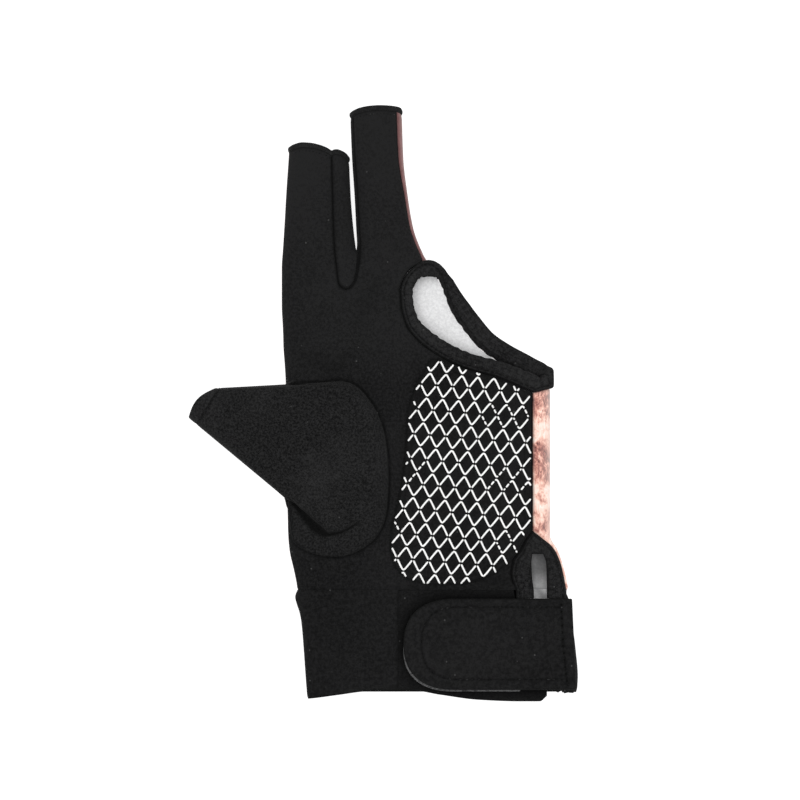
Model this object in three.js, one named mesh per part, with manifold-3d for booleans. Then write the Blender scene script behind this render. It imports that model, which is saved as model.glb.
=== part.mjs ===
// A left-hand billiard glove for three fingers, lying palm up as it would on a table.
// X runs from the thumb side to the little-finger side, Y from the cuff to the finger tips,
// and Z up from the surface that it lies on. Everything is in millimetres.
// Pieces are modelled from the palm's left edge and the wrist seam, and the finished group
// is moved so that its origin is the centre of its lowest face.
import * as THREE from "three";
import { mergeVertices } from "three/addons/utils/BufferGeometryUtils.js";
import Module from "manifold-3d";

const wasm = await Module();
wasm.setup();

// Lengths of the glove.
const PALM_WIDTH = 98;
const HAND_LENGTH = 108.4; // wrist seam to the crotch between index and middle finger
const INDEX_LENGTH = 53;
const MIDDLE_LENGTH = 66.4;
const CUFF_HEIGHT = 38.5;
const THUMB_REACH = 33.5; // thumb tip beyond the palm's left edge
const THUMB_TIP_WIDTH = 13.8;
const THUMB_LENGTH = 53.6; // from its seam on the palm to its tip

// Thicknesses and levels.
const WALL = 1.2; // stretch fabric
const CUFF_WALL = 1.5;
const SEAM_GAP = 0.3; // between pieces that are sewn edge to edge
const SIDE_LEVEL = 4.5; // height at which the glove folds at its sides
const HAND_LEVEL = 9.8; // palm surface above the table
const WRIST_LEVEL = 8.3;
const FINGER_LEVEL = 9.2;
const TOP_ROLL = 7.5; // width over which the palm rolls down to the side fold
const FLOOR_ROLL = 5; // the same on the back
const THUMB_LEVEL = 13.8; // highest point of the thumb, over its seam on the palm
const THUMB_TIP_LEVEL = 5; // middle of the thumb's open end
const THUMB_TIP_THICKNESS = 8;
const THUMB_HOLE_CLEARANCE = 0.5;
const THUMB_BASE = 0.2; // share of the thumb's rows that lie between its seam and its neck

// Trims.
const TIP_BAND = 2; // overlocked edge of a finger tip
const THUMB_HEM = 2.9;
const TIP_ARC = 21; // radius of a finger tip's edge
const TIP_ARC_REACH = 12; // beyond this half width a tip's edge runs straight
const BINDING_THICKNESS = 2.2;
const BINDING_PROUD = 0.5;
const PAD_THICKNESS = 2;
const PAD_EDGE = 1.6; // width of the pad's rounded edge
const PAD_LIP = 0.4; // height of that edge's foot, as a share of the pad's thickness

// Closure. The front of the cuff carries the loop panel, and the back folds round into a
// short return on which the strap is sewn.
const CUFF_FRONT_LEVEL = 8.3;
const HOOK_THICKNESS = 1.2;
const STRAP_THICKNESS = 1.6;
const RETURN_LEVEL = CUFF_FRONT_LEVEL + SEAM_GAP + HOOK_THICKNESS;
const SLIT_TAIL = 3; // length by which the slit's binding runs under the strap
const STRAP_BEVEL = 0.4;

// The palm's outline: shares of PALM_WIDTH across, at shares of HAND_LENGTH from the wrist.
// lift runs from WRIST_LEVEL (0) to HAND_LEVEL (1), and sink from there to FINGER_LEVEL (1).
const OUTLINE = [
  { at: 0, left: 0.059, side: 1.059, lift: 0, sink: 0 },
  { at: 0.06, left: 0.046, side: 1.045, lift: 0.35, sink: 0 },
  { at: 0.13, left: 0.029, side: 1.02, lift: 0.7, sink: 0 },
  { at: 0.18, left: 0.024, side: 0.991, lift: 0.85, sink: 0 },
  { at: 0.3, left: 0.02, side: 0.991, lift: 1, sink: 0 },
  { at: 0.47, left: 0.018, side: 0.991, lift: 1, sink: 0 },
  { at: 0.65, left: 0.017, side: 0.991, lift: 1, sink: 0 },
  { at: 0.673, left: 0.016, side: 0.991, lift: 1, sink: 0 },
  { at: 0.713, left: 0.014, side: 0.97, lift: 1, sink: 0 },
  { at: 0.757, left: 0.011, side: 0.88, lift: 1, sink: 0.05 },
  { at: 0.803, left: 0.007, side: 0.8, lift: 1, sink: 0.25 },
  { at: 0.87, left: 0.004, side: 0.74, lift: 1, sink: 0.63 },
  { at: 0.95, left: 0, side: 0.69, lift: 1, sink: 0.9 },
  { at: 1, left: 0, side: 0.66, lift: 1, sink: 1 },
];
// The palm panel's right edge: wrist slit, side seam, then the ring-finger opening.
const PALM_EDGE = [
  { at: 0, x: 0.864 },
  { at: 0.057, x: 0.847 },
  { at: 0.1, x: 0.855 },
  { at: 0.133, x: 0.882 },
  { at: 0.17, x: 0.904 },
  { at: 0.2, x: 0.926 },
  { at: 0.3, x: 0.926 },
  { at: 0.655, x: 0.926 },
  { at: 0.673, x: 0.886 },
  { at: 0.707, x: 0.796 },
  { at: 0.737, x: 0.679 },
  { at: 0.78, x: 0.579 },
  { at: 0.828, x: 0.507 },
  { at: 0.881, x: 0.461 },
  { at: 0.95, x: 0.441 },
  { at: 1, x: 0.438 },
];
// The edge of the printed fabric where it comes round the side onto the palm.
const WRAP_EDGE = [
  { at: 0, x: 1.051 },
  { at: 0.076, x: 1.034 },
  { at: 0.114, x: 1.019 },
  { at: 0.145, x: 0.998 },
  { at: 0.181, x: 0.949 },
  { at: 0.2, x: 0.926 },
  { at: 0.673, x: 0.926 },
];
// The back panel's right edge, which is the opening's edge above the side fold.
const BACK_EDGE = [
  { at: 0, x: 0.971 },
  { at: 0.673, x: 0.971 },
  { at: 0.713, x: 0.897 },
  { at: 0.757, x: 0.805 },
  { at: 0.803, x: 0.732 },
  { at: 0.853, x: 0.684 },
  { at: 0.93, x: 0.625 },
  { at: 1, x: 0.596 },
];
// The index finger: side is its right silhouette, stitch and backStitch its gusset's seams.
const INDEX = [
  { at: 0, left: 0, stitch: 0.239, side: 0.357, backStitch: 0.239 },
  { at: 0.041, left: 0, stitch: 0.214, side: 0.312, backStitch: 0.235 },
  { at: 0.15, left: 0, stitch: 0.204, side: 0.287, backStitch: 0.233 },
  { at: 0.265, left: 0.004, stitch: 0.197, side: 0.276, backStitch: 0.232 },
  { at: 0.469, left: 0.011, stitch: 0.192, side: 0.263, backStitch: 0.228 },
  { at: 0.639, left: 0.016, stitch: 0.19, side: 0.256, backStitch: 0.224 },
  { at: 1, left: 0.028, stitch: 0.186, side: 0.25, backStitch: 0.217 },
];
// The middle finger: side is its left silhouette, seam the print's edge on the palm side,
// farSide its right silhouette, and backEdge the back panel's edge.
const MIDDLE = [
  { at: 0, side: 0.129, stitch: 0.239, seam: 0.438, farSide: 0.66, backStitch: 0.239, backEdge: 0.596 },
  { at: 0.054, side: 0.19, stitch: 0.273, seam: 0.45, farSide: 0.632, backStitch: 0.256, backEdge: 0.577 },
  { at: 0.098, side: 0.228, stitch: 0.28, seam: 0.468, farSide: 0.597, backStitch: 0.267, backEdge: 0.566 },
  { at: 0.133, side: 0.248, stitch: 0.284, seam: 0.496, farSide: 0.562, backStitch: 0.276, backEdge: 0.553 },
  { at: 0.155, side: 0.261, stitch: 0.286, seam: 0.522, farSide: 0.54, backStitch: 0.282, backEdge: 0.54 },
  { at: 0.184, side: 0.272, stitch: 0.288, seam: 0.513, farSide: 0.527, backStitch: 0.29, backEdge: 0.527 },
  { at: 0.244, side: 0.279, stitch: 0.289, seam: 0.494, farSide: 0.507, backStitch: 0.296, backEdge: 0.507 },
  { at: 0.336, side: 0.276, stitch: 0.285, seam: 0.472, farSide: 0.486, backStitch: 0.301, backEdge: 0.486 },
  { at: 0.509, side: 0.27, stitch: 0.279, seam: 0.454, farSide: 0.466, backStitch: 0.301, backEdge: 0.466 },
  { at: 0.715, side: 0.261, stitch: 0.27, seam: 0.432, farSide: 0.45, backStitch: 0.298, backEdge: 0.45 },
  { at: 1, side: 0.254, stitch: 0.263, seam: 0.426, farSide: 0.444, backStitch: 0.294, backEdge: 0.444 },
];
const FINGER_CUSP = { x: 0.278, index: 0.27, middle: 0.22 }; // where the white gap between them ends
// Rows of vertices, shared by all the panels that meet.
const SLIT_TOP = 0.2;
const SLIT_STEPS = 7;
const CORNER = { palm: 0.655, side: 0.673 }; // where the opening's edge meets the side fold
const HAND_ROWS = [
  ...steps(0, SLIT_TOP, SLIT_STEPS),
  ...steps(SLIT_TOP, CORNER.palm, 11),
  CORNER.palm,
  ...steps(CORNER.side, 1, 9),
  1,
];
const INDEX_ROWS = [0, 0.05, 0.1, 0.18, 0.27, 0.4, 0.54, 0.68, 0.8, 0.9];
const STRIP_START = 0.155; // the printed strip on the middle finger begins here
const MIDDLE_ROWS = [0, 0.054, 0.1, STRIP_START, 0.22, 0.32, 0.44, 0.58, 0.72, 0.84, 0.92];

// The thumb's base seam on the palm, the neck that rises from it and the place of each row
// round the open tip. Shares of PALM_WIDTH and HAND_LENGTH; rise runs from the side fold (0)
// to THUMB_LEVEL (1), and tip from the tip's upper end (0) to its lower end (1).
const THUMB = [
  { seamX: 0.029, seamY: 0.677, neckX: 0.007, neckY: 0.678, rise: 0.15, tip: 0, under: 0 },
  { seamX: 0.136, seamY: 0.693, neckX: 0.129, neckY: 0.68, rise: 0.78, tip: 0.05, under: 0 },
  { seamX: 0.254, seamY: 0.693, neckX: 0.224, neckY: 0.662, rise: 0.93, tip: 0.12, under: 0 },
  { seamX: 0.331, seamY: 0.63, neckX: 0.283, neckY: 0.605, rise: 0.98, tip: 0.2, under: 0 },
  { seamX: 0.379, seamY: 0.54, neckX: 0.32, neckY: 0.525, rise: 1, tip: 0.3, under: 0 },
  { seamX: 0.397, seamY: 0.433, neckX: 0.331, neckY: 0.433, rise: 1, tip: 0.4, under: 0 },
  { seamX: 0.397, seamY: 0.317, neckX: 0.325, neckY: 0.343, rise: 1, tip: 0.5, under: 0 },
  { seamX: 0.382, seamY: 0.227, neckX: 0.3, neckY: 0.273, rise: 0.97, tip: 0.6, under: 0 },
  { seamX: 0.338, seamY: 0.163, neckX: 0.262, neckY: 0.225, rise: 0.9, tip: 0.7, under: 0 },
  { seamX: 0.261, seamY: 0.12, neckX: 0.217, neckY: 0.198, rise: 0.8, tip: 0.79, under: 0 },
  { seamX: 0.18, seamY: 0.11, neckX: 0.178, neckY: 0.19, rise: 0.7, tip: 0.87, under: 0 },
  { seamX: 0.099, seamY: 0.127, neckX: 0.146, neckY: 0.207, rise: 0.58, tip: 0.94, under: 0 },
  { seamX: 0.042, seamY: 0.163, neckX: 0.104, neckY: 0.239, rise: 0.45, tip: 0.985, under: 0 },
  { seamX: 0.026, seamY: 0.215, neckX: 0.062, neckY: 0.271, rise: 0.28, tip: 1, under: 0 },
  { seamX: 0.021, seamY: 0.285, neckX: 0.008, neckY: 0.315, rise: 0.03, tip: 0.86, under: 1 },
  { seamX: 0.019, seamY: 0.4, neckX: -0.012, neckY: 0.4, rise: 0.02, tip: 0.63, under: 1 },
  { seamX: 0.018, seamY: 0.5, neckX: -0.015, neckY: 0.5, rise: 0.02, tip: 0.4, under: 1 },
  { seamX: 0.018, seamY: 0.593, neckX: -0.012, neckY: 0.593, rise: 0.03, tip: 0.18, under: 1 },
];
// The open tip's line, in shares of THUMB_TIP_WIDTH across and along the thumb.
const THUMB_TIP = { topY: 0.671, turn: 0.86, bulge: 0.13 };

// Widths of the opening's binding, in millimetres, at shares of its seam's length. It starts
// on the palm at the side fold, runs to the middle finger and comes back along the back.
const OPENING_BINDING = [
  { at: 0, width: 6.2 },
  { at: 0.1, width: 5.8 },
  { at: 0.25, width: 5.6 },
  { at: 0.38, width: 4.5 },
  { at: 0.46, width: 4.6 },
  { at: 0.5, width: 4.6 },
  { at: 0.56, width: 4.3 },
  { at: 0.66, width: 7.2 },
  { at: 0.8, width: 7.4 },
  { at: 0.93, width: 7 },
  { at: 1, width: 6.2 },
];
// The hole that the slit's binding leaves open; its top is straight.
const SLIT_HOLE = [
  { at: 0, left: 0.93, right: 0.978 },
  { at: 0.05, left: 0.923, right: 0.977 },
  { at: 0.09, left: 0.921, right: 0.975 },
  { at: 0.12, left: 0.924, right: 0.964 },
];

// The pad of raised lines: its left and right edges, in shares of PALM_WIDTH.
const PAD = [
  { at: 0.768, left: 0.552, right: 0.585 },
  { at: 0.758, left: 0.543, right: 0.612 },
  { at: 0.737, left: 0.529, right: 0.671 },
  { at: 0.707, left: 0.511, right: 0.78 },
  { at: 0.683, left: 0.496, right: 0.845 },
  { at: 0.663, left: 0.489, right: 0.895 },
  { at: 0.648, left: 0.483, right: 0.915 },
  { at: 0.59, left: 0.465, right: 0.918 },
  { at: 0.49, left: 0.46, right: 0.918 },
  { at: 0.393, left: 0.449, right: 0.918 },
  { at: 0.28, left: 0.426, right: 0.918 },
  { at: 0.2, left: 0.404, right: 0.915 },
  { at: 0.16, left: 0.401, right: 0.889 },
  { at: 0.12, left: 0.404, right: 0.864 },
  { at: 0.073, left: 0.423, right: 0.815 },
  { at: 0.037, left: 0.467, right: 0.74 },
  { at: 0.02, left: 0.53, right: 0.66 },
];
const PAD_ROWS = 20;
const PAD_COLUMNS = [0, 0.03, 0.08, 0.2, 0.35, 0.5, 0.65, 0.8, 0.92, 0.97, 1];

// The cuff's folds, in shares of PALM_WIDTH, at shares of CUFF_HEIGHT from the wrist seam.
const CUFF = [
  { at: 0, left: 0.059, right: 1.059 },
  { at: 0.065, left: 0.051, right: 1.064 },
  { at: 0.131, left: 0.057, right: 1.068 },
  { at: 0.206, left: 0.067, right: 1.072 },
  { at: 0.3, left: 0.074, right: 1.075 },
  { at: 0.495, left: 0.081, right: 1.083 },
  { at: 0.841, left: 0.091, right: 1.093 },
  { at: 1, left: 0.096, right: 1.09 },
];
const CUFF_ROWS = [0, 0.065, 0.131, 0.206, 0.3, 0.5, 0.7, 0.86, 1];
// How far down the cuff's front and back reach, in shares of CUFF_HEIGHT.
const FRONT_HEM = [
  { at: 0.09, reach: 1 },
  { at: 0.217, reach: 0.965 },
  { at: 0.4, reach: 0.937 },
  { at: 0.43, reach: 0.936 },
];
const BACK_REACH = 0.96;
const FRONT_END = 0.43; // the cuff's front ends here, and the loop panel begins
const RETURN_END = 1.033;
const LOOP_HEM = [
  { x: 0.43, reach: 0.936 },
  { x: 0.478, reach: 0.937 },
  { x: 0.585, reach: 0.98 },
  { x: 0.73, reach: 1.028 },
  { x: 0.88, reach: 1.042 },
  { x: 0.952, reach: 1.042 },
  { x: 0.978, reach: 0.99 },
];
// The strap: reach down from the wrist seam in shares of CUFF_HEIGHT.
const STRAP = { left: 0.45, right: 1.07, lowRight: 1.085, top: 0.078, hem: 0.932, round: 0.19 };
const HOOK = { left: 0.449, right: 0.88, top: 0.2, hem: 0.949, round: 0.18 };

// Materials.
const fabric = cloth(0x242424, 0.92);
const suede = cloth(0x262626, 0.97);
const printed = cloth(0xd9a48f, 0.85);
const knit = cloth(0x1d1d1d, 0.95);
const neoprene = cloth(0x212121, 0.9);
const loopPile = cloth(0x2a2a2a, 1);
const hookPile = cloth(0x555555, 0.8);
const grip = cloth(0x2b2b2b, 0.85);

const UP = new THREE.Vector3(0, 0, 1);
const OUTWARD = new THREE.Vector3(1, 0, 0); // away from the thumb
const UPRIGHT = 0.35; // a seam whose normal rises less than this is on a side fold
// How many columns of faces each piece has across.
const COLUMNS = { outer: 8, inner: 6, wrap: 8, strip: 3, gusset: 4, tip: 28, cuff: 34 };

const glove = new THREE.Group();
makePalmPanel();
makeBackPanel();
makeFingerGusset();
makeThumb();
makeTipBands();
makeGripPad();
makeOpeningBinding();
makeSlitBinding();
makeCuff();
makeClosure();
standOnItsBack();

export default glove;

function cloth(color, roughness) {
  return new THREE.MeshStandardMaterial({ color, roughness, metalness: 0 });
}

function add(name, geometry, material) {
  geometry.computeVertexNormals();
  const mesh = new THREE.Mesh(geometry, material);
  mesh.name = name;
  glove.add(mesh);
}

// The numbers from start up to end in count equal steps, without the end itself.
function steps(start, end, count) {
  return Array.from({ length: count }, (_, i) => start + ((end - start) * i) / count);
}

// A smooth curve through one column of a table that never swings past its rows.
function follow(table, column, key = "at") {
  const t = table.map((row) => row[key]);
  const v = table.map((row) => row[column]);
  const last = t.length - 1;
  const rise = steps(0, last, last).map((i) => (v[i + 1] - v[i]) / (t[i + 1] - t[i]));
  const slope = t.map((_, i) => {
    if (i === 0) return rise[0];
    if (i === last) return rise[last - 1];
    const [before, after] = [rise[i - 1], rise[i]];
    return before * after <= 0 ? 0 : (2 * before * after) / (before + after);
  });
  return (at) => {
    if (at <= t[0]) return v[0];
    if (at >= t[last]) return v[last];
    const i = t.findLastIndex((start) => start <= at);
    const width = t[i + 1] - t[i];
    const s = (at - t[i]) / width;
    const bend = s * s * (3 - 2 * s);
    return (
      v[i] + (v[i + 1] - v[i]) * bend +
      width * s * (1 - s) * (slope[i] * (1 - s) - slope[i + 1] * s)
    );
  };
}

function clamp(value, low = 0, high = 1) {
  return Math.min(high, Math.max(low, value));
}

function smooth(value) {
  const s = clamp(value);
  return s * s * (3 - 2 * s);
}

// A quarter round: 0 at an edge, 1 from one roll's width inwards.
function fall(share) {
  return Math.sqrt(1 - (1 - clamp(share)) ** 2);
}

// A row across the hand, the index or the middle finger.
function handRow(at) {
  const lifted = WRIST_LEVEL + (HAND_LEVEL - WRIST_LEVEL) * follow(OUTLINE, "lift")(at);
  return {
    y: at * HAND_LENGTH,
    left: follow(OUTLINE, "left")(at) * PALM_WIDTH,
    right: follow(OUTLINE, "side")(at) * PALM_WIDTH,
    level: lifted - (HAND_LEVEL - FINGER_LEVEL) * follow(OUTLINE, "sink")(at),
    bend: 0,
    middle: 0,
  };
}

function fingerRow(table, length, leftColumn, rightColumn, at) {
  const left = follow(table, leftColumn)(at) * PALM_WIDTH;
  const right = follow(table, rightColumn)(at) * PALM_WIDTH;
  return {
    y: HAND_LENGTH + at * length,
    left,
    right,
    level: FINGER_LEVEL,
    bend: smooth((at - 0.6) / 0.4) / (2 * TIP_ARC),
    middle: (left + right) / 2,
  };
}

function indexRow(at) {
  return fingerRow(INDEX, INDEX_LENGTH, "left", "side", at);
}

function middleRow(at) {
  return fingerRow(MIDDLE, MIDDLE_LENGTH, "side", "farSide", at);
}

function topOf(row, x) {
  const rolls = fall((x - row.left) / TOP_ROLL) * fall((row.right - x) / TOP_ROLL);
  return SIDE_LEVEL + (row.level - SIDE_LEVEL) * rolls;
}

function bottomOf(row, x) {
  const rolls = fall((x - row.left) / FLOOR_ROLL) * fall((row.right - x) / FLOOR_ROLL);
  return SIDE_LEVEL * (1 - rolls);
}

// How far the arc of a finger tip draws a row back at x.
function drawn(row, x) {
  return row.bend * clamp(x - row.middle, -TIP_ARC_REACH, TIP_ARC_REACH) ** 2;
}

function pointOn(row, surface, x) {
  return new THREE.Vector3(x, row.y - drawn(row, x), surface(row, x));
}

// count + 1 points, evenly spaced, along stretches of a row: each is [surface, from, to] in x.
function span(row, stretches, count) {
  const fine = 40;
  const path = stretches.flatMap(([surface, from, to]) =>
    Array.from({ length: fine + 1 }, (_, i) => {
      const share = (1 - Math.cos((Math.PI * i) / fine)) / 2;
      return pointOn(row, surface, from + (to - from) * share);
    }),
  );
  path.forEach((p, i) => {
    const along = path[Math.min(i + 1, path.length - 1)].clone().sub(path[Math.max(i - 1, 0)]);
    p.normal = new THREE.Vector3(-along.z, 0, along.x).normalize();
  });
  return evenly(path, count);
}

// count + 1 points, evenly spaced, along a fine chain of points.
function evenly(path, count) {
  const run = [0];
  for (let i = 1; i < path.length; i++) run.push(run[i - 1] + path[i].distanceTo(path[i - 1]));
  const total = run[run.length - 1];
  return Array.from({ length: count + 1 }, (_, k) => {
    const want = (total * k) / count;
    const i = clamp(run.findIndex((length) => length >= want - 1e-9), 1, path.length - 1);
    const share = (want - run[i - 1]) / (run[i] - run[i - 1] || 1);
    const point = path[i - 1].clone().lerp(path[i], share);
    if (path[i].normal) point.normal = path[i - 1].normal.clone().lerp(path[i].normal, share);
    return point;
  });
}

// Joins grids of points into one surface whose shared points are one. A grid is a list of
// rows, and its outside is the side from which the rows run anticlockwise of the columns.
function join(grids) {
  const points = [];
  const known = new Map();
  const faces = [];
  const index = (p) => {
    const key = [p.x, p.y, p.z].map((value) => Math.round(value * 1e4)).join();
    if (!known.has(key)) {
      known.set(key, points.length);
      points.push(Object.assign(p.clone(), { normal: p.normal }));
    }
    return known.get(key);
  };
  const face = (a, b, c) => {
    if (a !== b && b !== c && c !== a) faces.push([a, b, c]);
  };
  for (const grid of grids) {
    const at = grid.map((row) => row.map(index));
    for (let i = 0; i + 1 < at.length; i++)
      for (let j = 0; j + 1 < at[i].length; j++) {
        face(at[i][j], at[i][j + 1], at[i + 1][j + 1]);
        face(at[i][j], at[i + 1][j + 1], at[i + 1][j]);
      }
  }
  return { points, faces };
}

function turnedOver(grid) {
  return grid.map((row) => [...row].reverse());
}

// The outward direction at each point: that of its faces, or of the curve that it came from.
function normalsOf({ points, faces }) {
  const normals = points.map(() => new THREE.Vector3());
  for (const face of faces) {
    const [a, b, c] = face.map((i) => points[i]);
    const normal = b.clone().sub(a).cross(c.clone().sub(a));
    face.forEach((i) => normals[i].add(normal));
  }
  return normals.map((normal, i) => {
    const given = points[i].normal;
    if (!given) return normal.normalize();
    return given.clone().multiplyScalar(Math.sign(given.dot(normal)) || 1).normalize();
  });
}

// The surface's free edges as [from, to] pairs, with the surface on their left.
function edgesOf({ faces }) {
  const seen = new Map();
  for (const [a, b, c] of faces)
    for (const [from, to] of [[a, b], [b, c], [c, a]]) seen.set(from + "," + to, [from, to]);
  return [...seen.values()].filter(([from, to]) => !seen.has(to + "," + from));
}

// Draws the surface's free edges inwards, so that neighbours keep a gap.
function inset(surface, gap) {
  const normals = normalsOf(surface);
  const pull = new Map();
  for (const [from, to] of edgesOf(surface)) {
    const along = surface.points[to].clone().sub(surface.points[from]).normalize();
    for (const i of [from, to]) {
      const inward = normals[i].clone().cross(along).normalize();
      pull.set(i, (pull.get(i) || new THREE.Vector3()).add(inward));
    }
  }
  for (const [i, inward] of pull) {
    const sharpest = 0.6; // keeps the pull at a sharp corner in bounds
    const share = Math.max(inward.length() / 2, sharpest);
    surface.points[i].addScaledVector(inward.normalize(), gap / share);
  }
  return surface;
}

// A closed wall between a surface and its copy shifted inwards by thickness.
function thicken(surface, thickness) {
  const normals = normalsOf(surface);
  const inner = surface.points.map((p, i) => p.clone().addScaledVector(normals[i], -thickness));
  return closed(surface, inner);
}

function closed(surface, inner) {
  const { points, faces } = surface;
  const shift = points.length;
  const all = [...points, ...inner];
  const triangles = [...faces, ...faces.map(([a, b, c]) => [c + shift, b + shift, a + shift])];
  for (const [from, to] of edgesOf(surface))
    triangles.push([to, from, from + shift], [to, from + shift, to + shift]);
  const geometry = new THREE.BufferGeometry();
  geometry.setAttribute("position", new THREE.Float32BufferAttribute(all.flatMap((p) => p.toArray()), 3));
  geometry.setIndex(triangles.flat());
  return geometry;
}

function panel(grids, thickness) {
  return thicken(inset(join(grids), SEAM_GAP / 2), thickness);
}

function solidOf(geometry) {
  const bare = geometry.clone();
  bare.deleteAttribute("normal");
  bare.deleteAttribute("uv");
  const merged = mergeVertices(bare, 1e-4);
  return new wasm.Manifold(
    new wasm.Mesh({
      numProp: 3,
      vertProperties: merged.attributes.position.array,
      triVerts: new Uint32Array(merged.index.array),
    }),
  );
}

function geometryOf(solid) {
  const { vertProperties, triVerts, numProp } = solid.getMesh();
  const geometry = new THREE.BufferGeometry();
  const positions = new Float32Array((vertProperties.length / numProp) * 3);
  for (let i = 0; i < positions.length / 3; i++)
    positions.set(vertProperties.subarray(i * numProp, i * numProp + 3), i * 3);
  geometry.setAttribute("position", new THREE.BufferAttribute(positions, 3));
  geometry.setIndex(new THREE.BufferAttribute(triVerts, 1));
  return geometry;
}

// The middle column of the hand, which ends at the crotch between the fingers.
function centreOf(at) {
  const wristCentre = 0.45;
  return PALM_WIDTH * (wristCentre + (INDEX[0].stitch - wristCentre) * at);
}

// Finger rows up to the overlocked edge.
function rowsTo(rows, length) {
  return [...rows, 1 - TIP_BAND / length];
}

// The palm: one flat piece from the side seam to the slit, the opening and both fingers,
// with the thumb hole cut out of its left side.
function makePalmPanel() {
  const edge = follow(PALM_EDGE, "x");
  const hand = HAND_ROWS.map(handRow);
  const halves = [
    hand.map((row, i) => span(row, [[topOf, row.left, centreOf(HAND_ROWS[i])]], COLUMNS.outer)),
    hand.map((row, i) => {
      const at = HAND_ROWS[i];
      return span(row, [[topOf, centreOf(at), edge(at) * PALM_WIDTH]], COLUMNS.inner);
    }),
  ];
  const index = rowsTo(INDEX_ROWS, INDEX_LENGTH).map((at) => {
    const row = indexRow(at);
    const to = follow(INDEX, "stitch")(at) * PALM_WIDTH;
    return span(row, [[topOf, row.left, to]], COLUMNS.outer);
  });
  const middle = rowsTo(MIDDLE_ROWS, MIDDLE_LENGTH).map((at) => {
    const from = follow(MIDDLE, "stitch")(at) * PALM_WIDTH;
    const to = follow(MIDDLE, "seam")(at) * PALM_WIDTH;
    return span(middleRow(at), [[topOf, from, to]], COLUMNS.inner);
  });
  const whole = solidOf(panel([...halves, index, middle], WALL));
  add("palm_panel", geometryOf(whole.subtract(thumbHole())), fabric);
}

// The prism that cuts the thumb hole: the base seam's outline, open to the left.
function thumbHole() {
  const seam = thumbRings().seam.slice(0, -1);
  const middle = seam.reduce((sum, p) => sum.add(p), new THREE.Vector3()).divideScalar(seam.length);
  const rim = seam.slice(0, seam.findIndex((p) => p.z < SIDE_LEVEL + SEAM_GAP * 2));
  const outline = rim.map((p) => {
    const out = new THREE.Vector2(p.x - middle.x, p.y - middle.y).normalize();
    return new THREE.Vector2(p.x, p.y).addScaledVector(out, THUMB_HOLE_CLEARANCE);
  });
  const [first, last] = [outline[0], outline[outline.length - 1]];
  outline.push(new THREE.Vector2(-TOP_ROLL, last.y), new THREE.Vector2(-TOP_ROLL, first.y));
  const shape = new THREE.Shape(outline);
  return solidOf(new THREE.ExtrudeGeometry(shape, { depth: THUMB_LEVEL, bevelEnabled: false }));
}

// A row of the printed fabric from the back round the little-finger side onto the palm. The
// last rows lean, so that they end level with the palm's corner.
function wrapRow(at) {
  const row = handRow(at);
  const from = follow(BACK_EDGE, "x")(at) * PALM_WIDTH;
  const to = follow(WRAP_EDGE, "x")(at) * PALM_WIDTH;
  const lean = (CORNER.side - CORNER.palm) * HAND_LENGTH * smooth((at / CORNER.side - 0.9) * 10);
  return span(row, [[bottomOf, from, row.right], [topOf, row.right, to]], COLUMNS.wrap).map((p) => {
    const share = p.z > SIDE_LEVEL ? (row.right - p.x) / (row.right - to) : 0;
    return p.setY(p.y - lean * share);
  });
}

// The back of the hand: printed stretch fabric that comes round the little-finger side
// onto the palm, and round the middle finger's far side.
function makeBackPanel() {
  const edge = follow(BACK_EDGE, "x");
  const hand = HAND_ROWS.map(handRow);
  const halves = [
    hand.map((row, i) => span(row, [[bottomOf, row.left, centreOf(HAND_ROWS[i])]], COLUMNS.inner)),
    hand.map((row, i) => {
      const at = HAND_ROWS[i];
      return span(row, [[bottomOf, centreOf(at), edge(at) * PALM_WIDTH]], COLUMNS.inner);
    }),
  ];
  const wrapped = HAND_ROWS.filter((at) => at <= CORNER.side).map(wrapRow);
  const index = rowsTo(INDEX_ROWS, INDEX_LENGTH).map((at) => {
    const row = indexRow(at);
    const to = follow(INDEX, "backStitch")(at) * PALM_WIDTH;
    return span(row, [[bottomOf, row.left, to]], COLUMNS.inner);
  });
  const middleAt = rowsTo(MIDDLE_ROWS, MIDDLE_LENGTH);
  const middle = middleAt.map((at) => {
    const from = follow(MIDDLE, "backStitch")(at) * PALM_WIDTH;
    const to = follow(MIDDLE, "backEdge")(at) * PALM_WIDTH;
    return span(middleRow(at), [[bottomOf, from, to]], COLUMNS.inner);
  });
  const strip = middleAt.filter((at) => at >= STRIP_START).map((at) => {
    const row = middleRow(at);
    const to = follow(MIDDLE, "seam")(at) * PALM_WIDTH;
    return span(row, [[topOf, row.right, to]], COLUMNS.strip);
  });
  const grids = [...halves, wrapped, index, middle, strip].map(turnedOver);
  add("back_panel", panel(grids, WALL), printed);
}

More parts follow.
